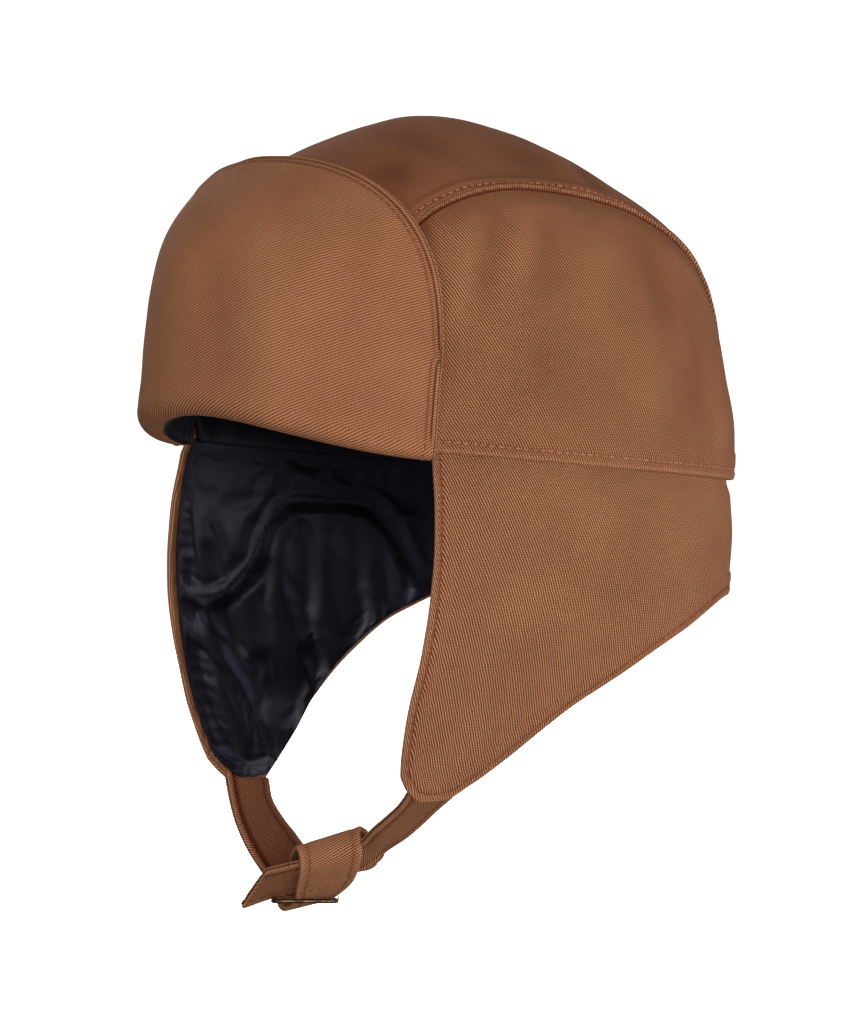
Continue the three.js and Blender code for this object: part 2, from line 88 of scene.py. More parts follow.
right = Vector((math.cos(AZIMUTH), math.sin(AZIMUTH), 0))
forward = Vector((
    -math.sin(AZIMUTH) * math.cos(ELEVATION),
    math.cos(AZIMUTH) * math.cos(ELEVATION),
    -math.sin(ELEVATION),
))
above = right.cross(forward)
camera = add_object("camera", bpy.data.cameras.new("camera"))
bpy.context.scene.camera = camera
camera.data.sensor_width = SENSOR
camera.data.lens = PIXELS_PER_MM * DISTANCE * SENSOR / PICTURE_HEIGHT
camera.data.clip_end = 200
aim = RIM_CENTRE + right * AIM_ASIDE + above * AIM_UP
axes = Matrix((right, above, -forward)).transposed().to_4x4()
camera.matrix_world = Matrix.Translation((aim - forward * DISTANCE) * MM) @ axes
print("lens", round(camera.data.lens, 1), "mm")

# %% [markdown]
# ## Nodes without wires
# A finish is a graph of nodes, and long graphs are easier to read as formulas. The class below
# wraps an output socket, so that an expression such as `1 - ridge * 0.4` adds its own Math nodes.
# Every other node comes from one method, which sets the node's choices first, because some
# sockets only exist once the choice is made.

# %% Write shader maths as expressions
class Wire:
    def __init__(self, board, socket):
        self.board = board
        self.socket = socket

    def maths(self, operation, *values):
        return self.board.node("ShaderNodeMath", {"operation": operation}, dict(enumerate(values)))

    def __add__(self, other):
        return self.maths("ADD", self, other)

    def __sub__(self, other):
        return self.maths("SUBTRACT", self, other)

    def __mul__(self, other):
        return self.maths("MULTIPLY", self, other)

    def __truediv__(self, other):
        return self.maths("DIVIDE", self, other)

    def __pow__(self, other):
        return self.maths("POWER", self, other)

    def __radd__(self, other):
        return self.maths("ADD", other, self)

    def __rsub__(self, other):
        return self.maths("SUBTRACT", other, self)

    def __rmul__(self, other):
        return self.maths("MULTIPLY", other, self)

    def wave(self):
        """From 0 to 1 and back for each whole number that the value passes."""
        return 0.5 + 0.5 * self.maths("SINE", self * (2 * math.pi))

    def clamped(self):
        return self.maths("MINIMUM", self.maths("MAXIMUM", self, 0.0), 1.0)


class Board:
    def __init__(self, tree):
        self.tree = tree

    def node(self, kind, settings=None, inputs=None, output=0):
        made = self.tree.nodes.new(kind)
        for name, value in (settings or {}).items():
            if name == "stops":
                for _ in value[2:]:
                    made.color_ramp.elements.new(1.0)
                for stop, (position, colour) in zip(made.color_ramp.elements, value):
                    stop.position = position
                    stop.color = (*colour, 1)
            else:
                setattr(made, name, value)
        for name, value in (inputs or {}).items():
            if isinstance(value, Wire):
                self.tree.links.new(value.socket, made.inputs[name])
            else:
                made.inputs[name].default_value = value
        return Wire(self, made.outputs[output]) if made.outputs else None

    def mix_colours(self, first, second, share, blend="MIX"):
        settings = {"data_type": "RGBA", "blend_type": blend}
        return self.node("ShaderNodeMix", settings, {0: share, 6: first, 7: second}, 2)

    def speckle(self, where, scale, detail=2.0, roughness=0.5):
        sockets = {"Vector": where, "Scale": scale, "Detail": detail, "Roughness": roughness}
        return self.node("ShaderNodeTexNoise", {"noise_dimensions": "3D"}, sockets)

    def part(self, vector, n):
        return self.node("ShaderNodeSeparateXYZ", None, {0: vector}, n)

    def bump(self, strength, distance, height):
        sockets = {"Strength": strength, "Distance": distance, "Height": height}
        return self.node("ShaderNodeBump", None, sockets)


def new_finish(name, principled):
    """A material with an empty board; principled holds what is the same all over it."""
    material = bpy.data.materials.new(name)
    material.use_nodes = True
    material.node_tree.nodes.clear()
    board = Board(material.node_tree)
    surface = board.node("ShaderNodeBsdfPrincipled", None, principled)
    board.node("ShaderNodeOutputMaterial", None, {"Surface": surface})
    shader = surface.socket.node

    def connect(**links):
        for socket, wire in links.items():
            board.tree.links.new(wire.socket, shader.inputs[socket.replace("_", " ")])

    return material, board, connect


# %% [markdown]
# ## The twill
# Twill has raised diagonal ribs, here about 0.9 mm apart, and each rib is a row of short slanted
# floats of yarn. The pattern must follow each cut piece of cloth, so it reads the piece's own flat
# map, laid out in metres with the ribs upright. Grooves are much darker than ribs, which is painted
# shade in the grooves and painted light on the ribs' tops; the dye has taken unevenly, and pale
# fibres stand off the surface. The ribs themselves are far too fine for a mesh, so they are bump.
# Each piece also carries a number named tone at its points, which paints light and shade into its
# colour: above 0 where an edge is rubbed pale and given a painted highlight, or where a whole piece
# is painted lighter, and below 0 as painted shade down in seams, grooves and dents, or where a whole
# piece is painted darker.

# %% Make the twill's finish
RIB_PITCH = 0.92 * MM
FLOAT_LENGTH = 0.98 * MM
RIB_HEIGHT = 0.30 * MM
CLOTH_MAP = "cloth"
# The ribs' tops with painted light, and the grooves with painted shade.
LIT_RIB_COLOUR = (0.680, 0.300, 0.146, 1)
GROOVE_SHADE_COLOUR = (0.070, 0.018, 0.006, 1)
DARK_DYE = (0.80, 0.77, 0.75, 1)
PALE_DYE = (1.08, 1.06, 1.05, 1)
# Painted shade for tone below 0; above 0, a pale colour that is partly rubbed wear and partly painted
# highlight.
PAINTED_SHADE_COLOUR = (0.085, 0.012, 0.004, 1)
RUBBED_AND_LIT_COLOUR = (0.66, 0.33, 0.18, 1)
PAINTED_LIGHT_AND_WEAR = "tone"
DRIFT_SCALE = 330
YARN_SCALE = 2600
PATCH_SCALE = 30
FUZZ_SCALE = 5200
RIDGE_SHARPNESS = 1.35
EVEN_LIGHT = 0.52


def make_twill(name, contrast):
    """The contrast scales the ribs' painted shade and bump: 1 for full ribs, less for cloth stretched
    smooth.
    """
    material, board, connect = new_finish(name, {"Specular IOR Level": 0.14})
    flat = board.node("ShaderNodeUVMap", {"uv_map": CLOTH_MAP})
    across = board.part(flat, 0)
    along = board.part(flat, 1)
    drift = board.speckle(flat, DRIFT_SCALE)
    rib = across / RIB_PITCH + drift * 0.6
    ridge = 1 - (1 - rib.wave()) ** RIDGE_SHARPNESS
    lean = along / FLOAT_LENGTH + rib * 0.5 + drift * 0.9
    floats = lean.wave()
    yarn = board.speckle(flat, YARN_SCALE, 3.0, 0.65)
    patches = board.speckle(flat, PATCH_SCALE, 4.0, 0.6)
    fuzz = board.speckle(flat, FUZZ_SCALE, 2.0, 0.7)
    lit = (ridge * (0.60 + floats * 0.40) + (yarn - 0.5) * 0.7).clamped()
    shown = lit * contrast + (1 - contrast) * EVEN_LIGHT
    # The grooves' colour is painted shade, and the ribs' colour is painted light on their tops.
    cloth = board.mix_colours(GROOVE_SHADE_COLOUR, LIT_RIB_COLOUR, shown)
    dye = board.mix_colours(DARK_DYE, PALE_DYE, ((patches - 0.5) * 1.8 + 0.6).clamped())
    dyed = board.mix_colours(cloth, dye, 1.0, "MULTIPLY")
    # The tone attribute paints light and shade: below 0 it mixes in painted shade, above 0 a colour that
    # is partly rubbed wear and partly painted highlight.
    tone = board.node("ShaderNodeAttribute", {"attribute_name": PAINTED_LIGHT_AND_WEAR}, None, 2)
    dyed = board.mix_colours(dyed, PAINTED_SHADE_COLOUR, (tone * -0.9).clamped())
    dyed = board.mix_colours(dyed, RUBBED_AND_LIT_COLOUR, (tone * 0.5 * (0.4 + yarn)).clamped())
    height = ridge * (0.72 + floats * 0.28) + (yarn - 0.5) * 0.5 + (fuzz - 0.5) * 0.25
    bump = board.bump(0.9 * contrast, RIB_HEIGHT, height)
    connect(Base_Color=dyed, Roughness=0.95 - lit * 0.10, Normal=bump)
    return material


TWILL = make_twill("twill", 1.06)
EAR_TWILL = make_twill("ear_twill", 1.22)
FLAP_TWILL = make_twill("flap_twill", 0.80)
SMOOTH_TWILL = make_twill("smooth_twill", 0.35)
print("finishes:", TWILL.name, EAR_TWILL.name, FLAP_TWILL.name, SMOOTH_TWILL.name)

# %% [markdown]
# ## Thread, satin and bronze
# The seams are sewn with a reddish thread of two twisted strands, which a slanting wave shows well
# enough at this size. The satin is nearly black and only speaks through its sheen, so its
# roughness wanders and its weave is a faint bump. The buckle is old bronze: brown where it lies
# in, brighter where hands and cloth have rubbed it.

# %% Make the other finishes
THREAD_TWIST = 0.9 * MM
SATIN_THREAD = 0.4 * MM
SATIN_COLOUR = (0.0009, 0.0008, 0.0014, 1)
SATIN_PALE = (0.0028, 0.0026, 0.0042, 1)
BRONZE_COLOUR = (0.040, 0.020, 0.013, 1)
BRONZE_RUBBED = (0.20, 0.11, 0.065, 1)


def make_thread(name, shade, shine):
    material, board, connect = new_finish(name, {"Specular IOR Level": 0.25})
    where = board.node("ShaderNodeTexCoord", None, None, 3)
    x = board.part(where, 0)
    z = board.part(where, 2)
    strand = ((x + z) / THREAD_TWIST).wave()
    tone = board.mix_colours(shade, shine, strand)
    bump = board.bump(0.6, 0.1 * MM, strand)
    connect(Base_Color=tone, Roughness=0.55 + strand * 0.15, Normal=bump)
    return material


def make_satin():
    constant = {"Specular IOR Level": 0.27, "IOR": 1.5, "Specular Tint": (0.74, 0.70, 1.0, 1)}
    material, board, connect = new_finish("satin", constant)
    flat = board.node("ShaderNodeUVMap", {"uv_map": CLOTH_MAP})
    across = board.part(flat, 0)
    wear = board.speckle(flat, 55.0, 3.0, 0.55)
    slub = board.speckle(flat, 900.0, 2.0, 0.6)
    threads = (across / SATIN_THREAD + slub * 1.5).wave()
    tone = board.mix_colours(SATIN_COLOUR, SATIN_PALE, (wear * 0.8 + threads * 0.25).clamped())
    height = threads * 0.35 + slub * 0.65
    bump = board.bump(0.35, 0.07 * MM, height)
    connect(Base_Color=tone, Roughness=0.46 + wear * 0.14, Normal=bump)
    return material


def make_bronze():
    material, board, connect = new_finish("bronze", {"Metallic": 1.0})
    where = board.node("ShaderNodeTexCoord", None, None, 3)
    wear = board.speckle(where, 420.0, 4.0, 0.6)
    pits = board.speckle(where, 2600.0, 2.0, 0.5)
    rubbed = ((wear - 0.42) * 3.2).clamped()
    tone = board.mix_colours(BRONZE_COLOUR, BRONZE_RUBBED, rubbed)
    bump = board.bump(0.3, 0.1 * MM, pits)
    connect(Base_Color=tone, Roughness=0.36 - rubbed * 0.14, Normal=bump)
    return material


THREAD = make_thread("thread", (0.15, 0.032, 0.013, 1), (0.34, 0.095, 0.042, 1))
# The crown's stitches use a lighter copy of the same thread, painted light where they stand out against
# the darker strip.
LIT_THREAD = make_thread("lit_thread", (0.30, 0.10, 0.045, 1), (0.56, 0.25, 0.13, 1))
BLACK_THREAD = make_thread("black_thread", (0.002, 0.002, 0.003, 1), (0.010, 0.010, 0.014, 1))
SATIN = make_satin()
BRONZE = make_bronze()
print("finishes:", THREAD.name, SATIN.name, BRONZE.name)

# %% [markdown]
# ## The hat's measures
# These are the sizes of the pattern, in millimetres: the oval of the opening, the crown above it
# and the cloth. The hat is drawn upright with z = 0 at the seam where the ear flaps hang from the
# crown, and is then tipped back a little into the frame. Short tables say how a measure changes
# along a seam, and a smooth curve is drawn through their rows.

# %% Set out the pattern
HALF_LENGTH = 106
HALF_WIDTH = 86
CROWN_HEIGHT = 117
CROWN_LEAN = 14
PLAN_SQUARENESS = 2.15
FRONT_ARCH = 13
TIP_BACK = math.radians(5.7)
CLOTH = 1.5
QUILT = 2.6
SEAM_GAP = 0.4
LAYER_GAP = 0.9
TEMPLE = math.radians(-35)
STRIP_SPREAD = [(0, 38), (30, 32.5), (57, 27.5), (90, 29), (122, 26), (150, 20), (180, 15)]
CROWN_SWELL = [(0, 1), (15, 1), (30, 1.035), (45, 1.09), (60, 1), (75, 0.85), (90, 0.72)]


def read_table(rows, x):
    """A smooth curve through (place, value) rows that never overshoots them."""
    place, value = np.array(rows, float).T
    slope = np.diff(value) / np.diff(place)
    before, after = slope[:-1], slope[1:]
    same = before * after > 0
    middle = np.where(same, 2 * before * after / np.where(same, before + after, 1), 0)
    tangent = np.concatenate([slope[:1], middle, slope[-1:]])
    x = np.clip(x, place[0], place[-1])
    i = np.clip(np.searchsorted(place, x, side="right") - 1, 0, len(place) - 2)
    span = place[i + 1] - place[i]
    t = (x - place[i]) / span
    rising = value[i + 1] * (3 * t**2 - 2 * t**3) + tangent[i + 1] * span * (t**3 - t**2)
    return value[i] * (2 * t**3 - 3 * t**2 + 1) + tangent[i] * span * (t**3 - 2 * t**2 + t) + rising


def mix(a, b, t):
    return a + (b - a) * t


def ease(t):
    t = np.clip(t, 0, 1)
    return t * t * (3 - 2 * t)


def hump(x, centre, width):
    """1 at the centre, fading to nothing on either side."""
    return np.exp(-(((x - centre) / width) ** 2))


def unit(v):
    return v / np.maximum(np.linalg.norm(v, axis=-1, keepdims=True), 1e-12)


def points(x, y, z):
    return np.stack(np.broadcast_arrays(x, y, z), axis=-1).astype(float)


# %% [markdown]
# ## The crown as a formula
# The crown is a swollen half ellipsoid whose higher sections sit further forward. A direction from
# the middle of the opening meets it in one point, so any line on it can be drawn by listing
# directions. NumPy works out a whole grid of them at once, which is far quicker than a loop.

# %% Describe the crown
def crown_surface(direction):
    x, y, z = np.moveaxis(direction, -1, 0)
    plan = np.abs(x / HALF_WIDTH) ** PLAN_SQUARENESS + np.abs(y / HALF_LENGTH) ** PLAN_SQUARENESS
    reach = np.maximum(1e-9, plan ** (1 / PLAN_SQUARENESS))
    rise = np.arctan2(z / CROWN_HEIGHT, reach)
    size = np.cos(rise) * read_table(CROWN_SWELL, np.degrees(rise))
    lean = CROWN_LEAN * np.maximum(0, np.sin(rise)) ** 3
    return points(x / reach * size, y / reach * size - lean, CROWN_HEIGHT * np.sin(rise))


def crown_point(direction, outward=0):
    """Where a direction meets the crown, moved square to it."""
    ahead = unit(direction)
    flat = unit(points(-ahead[..., 1], ahead[..., 0], 0)) * 1e-3
    climb = np.cross(ahead, flat)
    round_it = crown_surface(ahead + flat) - crown_surface(ahead - flat)
    up_it = crown_surface(ahead + climb) - crown_surface(ahead - climb)
    square = unit(np.cross(round_it, up_it))
    return crown_surface(direction) + square * np.asarray(outward)[..., None]


def lateral_direction(station, aside):
    """A direction by station along the hat and by angle off the middle line."""
    return points(np.sin(aside), -np.cos(aside) * np.cos(station), np.cos(aside) * np.sin(station))


def rim_point(angle):
    return crown_surface(points(HALF_WIDTH * np.cos(angle), HALF_LENGTH * np.sin(angle), 0))


def rim_outward(angle):
    way = rim_point(angle + 1e-3) - rim_point(angle - 1e-3)
    return unit(points(way[..., 1], -way[..., 0], 0))


def towards_forehead(angle):
    return (TEMPLE - angle) / (TEMPLE + math.pi / 2)


def arch_height(angle):
    return FRONT_ARCH * ease(towards_forehead(angle))


def strip_direction(share, across, widen):
    """Share is 0 at the forehead and 1 at the back; across runs from -1 to 1."""
    aside = across * math.radians(STRIP_SPREAD[0][1])
    angle = np.arctan2(-np.cos(aside) / HALF_LENGTH, np.abs(np.sin(aside)) / HALF_WIDTH)
    reach = np.linalg.norm(rim_point(angle), axis=-1)
    start = np.arcsin(arch_height(angle) / (reach * np.cos(aside)))
    station = mix(start, math.pi, share)
    spread = np.radians(read_table(STRIP_SPREAD, np.degrees(station)))
    return lateral_direction(station, across * (spread + widen))


HALF_SEAM = SEAM_GAP / 2 / HALF_LENGTH
top = crown_point(points(0, -CROWN_LEAN, CROWN_HEIGHT))
print("crown top at", top.round(1))

# %% [markdown]
# ## From a grid of points to a piece of cloth
# Every piece is a grid of points for its face and a grid for its back. The two are joined by a rim
# that bulges, once for a fold and twice for two layers sewn together, because a square edge never
# looks like cloth. Each row of a rim is a level, from 1 at the face to -1 at the back, how far it
# reaches out, also in half thicknesses, and its tone: partly rubbed wear and partly a painted
# highlight where the rim bulges, and painted shade in the groove between two layers. The flat map
# comes from Blender's own unwrapping of a coarse copy of the face, scaled to true size and turned so
# that the ribs of the twill stand upright.

# %% Join two grids into a shell
# The third column is the tone: rubbed and with a painted highlight where the rim bulges, and painted shade
# in the groove between two sewn layers.
FOLDED_EDGE = [(0.75, 0.55, 0.3), (0.0, 0.85, 0.3), (-0.75, 0.55, 0.1)]
SEWN_EDGE = [
    (0.88, 0.40, 0.4),
    (0.58, 0.62, 0.6),
    (0.26, 0.46, -0.6),
    (0.0, -0.3, -1.0),
    (-0.22, 0.44, -0.6),
    (-0.52, 0.66, 0.6),
    (-0.88, 0.42, 0.3),
]
BACK_ORDER = [0, 3, 2, 1]
UP = np.array([0.0, 0.0, 1.0])
SAME_POINT = 2e-6
TIP = Matrix.Rotation(-TIP_BACK, 4, "X")


def place(grid, tipped=True):
    """Hat millimetres to metres in the frame; the chin strap is drawn level, without the tip."""
    turned = grid @ np.array(TIP.to_3x3()).T if tipped else grid
    return (turned + np.array(RIM_CENTRE)) * MM


def border(columns, rows, ring):
    """Grid places along the border, each with its nearest place inside."""
    if ring:
        low = [(i, 0, i, 1) for i in range(columns)]
        high = [(i, rows - 1, i, rows - 2) for i in range(columns)]
        return [low, high[::-1]]
    path = [(i, 0) for i in range(columns)] + [(columns - 1, j) for j in range(1, rows)]
    path += [(i, rows - 1) for i in range(columns - 2, -1, -1)]
    path += [(0, j) for j in range(rows - 2, 0, -1)] + [(0, 0)]
    inside = [(min(max(i, 1), columns - 2), min(max(j, 1), rows - 2)) for i, j in path]
    return [[(i, j, k, m) for (i, j), (k, m) in zip(path, inside)]]


def grid_quads(columns, rows):
    """The numbers of a grid's points, and the four corners of each of its cells."""
    ids = np.arange(columns * rows).reshape(columns, rows)
    corners = [ids[:-1, :-1], ids[1:, :-1], ids[1:, 1:], ids[:-1, 1:]]
    return ids, np.stack(corners, -1).reshape(-1, 4)


def square_to_edge(edge, normal, outward):
    """The direction out of a closed edge that is square to the edge and to the normal."""
    open_edge = edge[:-1]
    tangent = np.roll(open_edge, -1, axis=0) - np.roll(open_edge, 1, axis=0)
    tangent = np.concatenate([tangent, tangent[:1]])
    way = unit(np.cross(tangent, normal))
    return way * np.sign((way * outward).sum())


def make_shell(name, face, back, flat, finish, edge=FOLDED_EDGE, ring=False, tipped=True, tone=None):
    """A closed mesh from two grids. A ring's last column is its first one again."""
    columns, rows = face.shape[:2]
    total = columns * rows
    plain = np.zeros(total)
    # Tones paint light and shade into the colour, and mark rubbed edges.
    tones = [plain if tone is None else tone.ravel(), plain]
    vertices = [face.reshape(-1, 3), back.reshape(-1, 3)]
    flats = [flat.reshape(-1, 2), flat.reshape(-1, 2)]
    ids, cells = grid_quads(columns, rows)
    quads = [cells, cells[:, BACK_ORDER] + total]
    count = 2 * total
    for loop in border(columns, rows, ring):
        i, j, k, m = np.array(loop).T
        middle = (face[i, j] + back[i, j]) / 2
        half = (face[i, j] - back[i, j]) / 2
        away = square_to_edge(middle, half, middle - (face[k, m] + back[k, m]) / 2)
        thick = np.linalg.norm(half, axis=-1, keepdims=True)
        no_height = np.zeros((len(i), 1))
        flat_edge = np.concatenate([flat[i, j], no_height], 1)
        flat_outward = np.concatenate([flat[i, j] - flat[k, m], no_height], 1)
        flat_away = square_to_edge(flat_edge, UP + 0 * flat_edge, flat_outward)[:, :2]
        last = ids[i, j]
        run, before = 0.0, (1.0, 0.0)
        # rubbed is the rim row's tone: rubbed wear with a painted highlight, or painted shade in the
        # groove between layers.
        for level, reach, rubbed in edge:
            run += math.hypot(level - before[0], reach - before[1])
            before = (level, reach)
            tones.append(np.full(len(i), rubbed))
            vertices.append(middle + half * level + away * thick * reach)
            flats.append(flat[i, j] + flat_away * thick * run * MM)
            here = count + np.arange(len(i))
            quads.append(np.stack([last[:-1], here[:-1], here[1:], last[1:]], -1))
            last = here
            count += len(i)
        end = ids[i, j] + total
        quads.append(np.stack([last[:-1], end[:-1], end[1:], last[1:]], -1))
    placed = place(np.concatenate(vertices), tipped)
    quads, flats, tones = (np.concatenate(rows) for rows in (quads, flats, tones))
    return make_mesh(name, placed, quads, flats, finish, tones)


def make_mesh(name, placed, quads, flats, finish, tones):
    """Merges points that coincide, drops faces that vanish, and keeps the flat map."""
    keys = np.round(placed / SAME_POINT).astype(np.int64)
    _, first, same = np.unique(keys, axis=0, return_index=True, return_inverse=True)
    same = same.reshape(-1)
    faces = []
    corners = []
    for quad in quads.tolist():
        kept = [q for n, q in enumerate(quad) if same[q] != same[quad[n - 1]]]
        if len(kept) > 2:
            faces.append([int(same[q]) for q in kept])
            corners += kept
    mesh = bpy.data.meshes.new(name)
    mesh.from_pydata(placed[first].tolist(), [], faces)
    layer = mesh.uv_layers.new(name=CLOTH_MAP)
    layer.data.foreach_set("uv", flats[corners].astype(np.float32).ravel())
    mesh.polygons.foreach_set("use_smooth", [True] * len(mesh.polygons))
    mesh.materials.append(finish)
    shades = mesh.attributes.new(PAINTED_LIGHT_AND_WEAR, "FLOAT", "POINT")
    shades.data.foreach_set("value", tones[first].astype(np.float32))
    mesh.validate()
    print(name, len(mesh.vertices), "points,", len(mesh.polygons), "faces")
    return add_object(name, mesh)


# %% [markdown]
# ## Laying a piece out flat
# A cutter presses a shaped piece flat on the table, and Blender's unwrapping does the same to a
# mesh. Its method of least stretch is the one to choose for cloth, because it keeps lengths true.
# It is slow on a fine mesh, so a coarse copy is unwrapped and the fine grid reads it by
# interpolation. The result has any size and any turn, so its area is matched to the cloth's
# own and one line on the piece is used to set it upright.

# %% Unwrap a grid
PATTERN_COLUMNS = 56
PATTERN_ROWS = 26
PATTERN_MARGIN = 0.002


def read_grid(grid, u, v):
    """Values of a grid between its points; u and v run from 0 to 1 over its index."""
    columns, rows = grid.shape[:2]
    x = np.clip(u, 0, 1) * (columns - 1)
    y = np.clip(v, 0, 1) * (rows - 1)
    i = np.minimum(x.astype(int), columns - 2)
    j = np.minimum(y.astype(int), rows - 2)
    s = (x - i)[..., None]
    t = (y - j)[..., None]
    low = grid[i, j] * (1 - s) + grid[i + 1, j] * s
    high = grid[i, j + 1] * (1 - s) + grid[i + 1, j + 1] * s
    return low * (1 - t) + high * t


def index_grid(columns, rows):
    return np.meshgrid(np.linspace(0, 1, columns), np.linspace(0, 1, rows), indexing="ij")


def turn_flat(flat, angle):
    spin = np.array([[math.cos(angle), -math.sin(angle)], [math.sin(angle), math.cos(angle)]])
    return flat @ spin.T


def lay_flat(face, upright_from, upright_to, rib_turn):
    """A face's flat map in metres, turned by the ribs' angle to the line given, and its size."""
    u, v = index_grid(PATTERN_COLUMNS, PATTERN_ROWS)
    coarse = read_grid(face, u * (1 - 2 * PATTERN_MARGIN) + PATTERN_MARGIN, v)
    quads = grid_quads(PATTERN_COLUMNS, PATTERN_ROWS)[1]
    mesh = bpy.data.meshes.new("pattern")
    mesh.from_pydata(coarse.reshape(-1, 3).tolist(), [], quads.tolist())
    mesh.uv_layers.new(name=CLOTH_MAP)
    pattern = add_object("pattern", mesh)
    bpy.context.view_layer.objects.active = pattern
    pattern.select_set(True)
    bpy.ops.object.mode_set(mode="EDIT")
    bpy.ops.mesh.select_all(action="SELECT")
    bpy.ops.uv.unwrap(method="MINIMUM_STRETCH", iterations=30, margin=0)
    bpy.ops.object.mode_set(mode="OBJECT")
    corners = np.zeros(len(mesh.loops) * 2, np.float32)
    mesh.uv_layers[CLOTH_MAP].data.foreach_get("uv", corners)
    owners = np.zeros(len(mesh.loops), np.int32)
    mesh.loops.foreach_get("vertex_index", owners)
    flat = np.zeros((u.size, 2))
    flat[owners] = corners.reshape(-1, 2)
    bpy.data.objects.remove(pattern)
    a, b, c, d = (flat[quads[:, n]] for n in range(4))
    drawn = np.abs(np.cross(c - a, d - b)).sum() / 2
    p, q, r, s = (coarse.reshape(-1, 3)[quads[:, n]] for n in range(4))
    cut = np.linalg.norm(np.cross(r - p, s - q), axis=-1).sum() / 2
    flat = flat.reshape(*u.shape, 2) * math.sqrt(cut / drawn) * MM
    ends = np.array([upright_from, upright_to]).T
    start, end = read_grid(flat, *ends)
    turn = math.pi / 2 - math.atan2(*(end - start)[::-1]) + rib_turn
    upright = turn_flat(turn_flat(flat, turn), -rib_turn)
    size = np.ptp(upright.reshape(-1, 2), axis=0)
    fine_u, fine_v = index_grid(*face.shape[:2])
    return read_grid(turn_flat(flat - start, turn), fine_u, fine_v), (cut * MM * MM, size)


# %% Finish a piece for the frame
SHEETS = {}


def hand_over(piece, node):
    """The piece rides on the hat's one body and takes the place of its plain solid."""
    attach(piece, "root")
    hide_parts(node)
    return piece


def square_to(grid):
    """The direction square to a grid at each of its points, towards its face."""
    along = np.gradient(grid, axis=0)
    up = np.gradient(grid, axis=1)
    return unit(np.cross(along, up))


# %% [markdown]
# ## Hems, dents and waves
# Cloth that has been sewn and worn is never the plain formula. Three things are added to a face,
# square to it: a hem, which is thicker near the edge and pinched along its stitching; soft dents,
# each a short line with a width and a depth; and a slow waviness. The back is the plain surface,
# so the cloth keeps clear of what lies behind it.

# %% Shape the face of a piece
STITCH_INSET = 3.0
HEM_WIDTH = 8.0
HEM_SLOPE = 1.6
GROOVE_WIDTH = 0.8
ROLL_WIDTH = 0.7
DEEPEST_HOLLOW = 1.1
LAP_AT = 1.35
LAP_WIDTH = 0.32
EDGE_POINTS = 60


def distance_to_lines(flat, lines):
    """Millimetres from each place on the flat map to the nearest of some polylines on it."""
    best = np.full(flat.shape[:2], np.inf)
    for line in lines:
        for a, b in zip(line[:-1], line[1:]):
            d = b - a
            t = np.clip(((flat - a) @ d) / max(d @ d, 1e-15), 0, 1)
            best = np.minimum(best, np.linalg.norm(flat - a - t[..., None] * d, axis=-1))
    return best / MM


def edge_lines(flat, sides):
    """The chosen sides of a flat map, thinned to a few dozen points each."""
    found = {
        "low": flat[:, 0],
        "high": flat[:, -1],
        "first": flat[0],
        "last": flat[-1],
    }
    return [found[side][:: max(1, len(found[side]) // EDGE_POINTS)] for side in sides]


def hem_relief(away, thickness=0.5, pinch=0.45, inset=STITCH_INSET, width=HEM_WIDTH):
    """How far a hem stands off the cloth, by distance from the edge."""
    layers = thickness * (1 - ease((away - width) / HEM_SLOPE))
    groove = pinch * hump(away, inset, GROOVE_WIDTH)
    rolled = -0.5 * thickness * hump(away, 0, ROLL_WIDTH)
    return layers - groove + rolled


def hem_wear_and_painted_light(away, inset=STITCH_INSET):
    """Paler at the very edge, rubbed and with a painted highlight, and painted shade in the groove along
    the stitching.
    """
    return 0.45 * hump(away, 0, 0.6) - 0.40 * hump(away, inset, 0.45)


def shallow(relief):
    """Keeps hollows above the back of the cloth."""
    return np.where(relief < 0, -DEEPEST_HOLLOW * np.tanh(-relief / DEEPEST_HOLLOW), relief)


def calm_tone(grid, seed):
    """Slow, faint differences in shade."""
    return waves(grid, [(0.08, 44, 0), (0.05, 14, 50)], seed)


def lap_groove(away, at=LAP_AT, width=LAP_WIDTH):
    """The line between the two layers of a lapped edge: 1 in the groove, 0 elsewhere."""
    return hump(away, at, width)


def waviness(grid, size, seed):
    """Slow noise from about -1 to 1, with features of the given size in millimetres."""
    shift = Vector((seed * 17.3, seed * 5.1, seed * 9.7))
    flat = grid.reshape(-1, 3) / size
    values = [noise.noise(Vector(p) + shift) for p in flat.tolist()]
    return np.array(values).reshape(grid.shape[:2])


def waves(grid, rows, other=0):
    """Each row is a wave's height and size in millimetres, and its seed."""
    return sum(height * waviness(grid, size, seed + other) for height, size, seed in rows)


def dents(grid, rows):
    """Each row is a dent's two ends in hat millimetres, its width, and its depth."""
    total = np.zeros(grid.shape[:2])
    for start, end, width, depth in rows:
        a = np.array(start, float)
        d = np.array(end, float) - a
        t = np.clip(((grid - a) @ d) / (d @ d), 0, 1)
        off = np.linalg.norm(grid - a - t[..., None] * d, axis=-1)
        fade = np.sin(math.pi * np.clip(t * 0.9 + 0.05, 0, 1)) ** 0.5
        total -= depth * hump(off, 0, width) * fade
    return total


# %% [markdown]
# ## The top strip
# The strip runs from the forehead over the top to the back. Its seam allowances are pressed
# towards it and sewn down, so a low welt stands along both long edges, with the stitching on it.

# %% Make the top strip
HEM_STEPS = np.array([
    0, 0.25, 0.5, 0.75, 1.05, 1.4, 1.75, 2.1, 2.5, 2.9, 3.3, 3.8, 4.5, 5.5, 6.8, 8.2, 9.8,
])


def crowded(count, low, high):
    """Even steps from 0 to 1, with a few more close to either end where a hem needs them."""
    start = HEM_STEPS * low
    end = 1 - HEM_STEPS[::-1] * high
    middle = np.linspace(start[-1] if low else 0, end[0] if high else 1, count)
    return np.unique(np.concatenate([start if low else [0], middle, end if high else [1]]))


STRIP_COLUMNS = 230
STRIP_RIBS = math.radians(28)
STRIP_INSET = 2.3
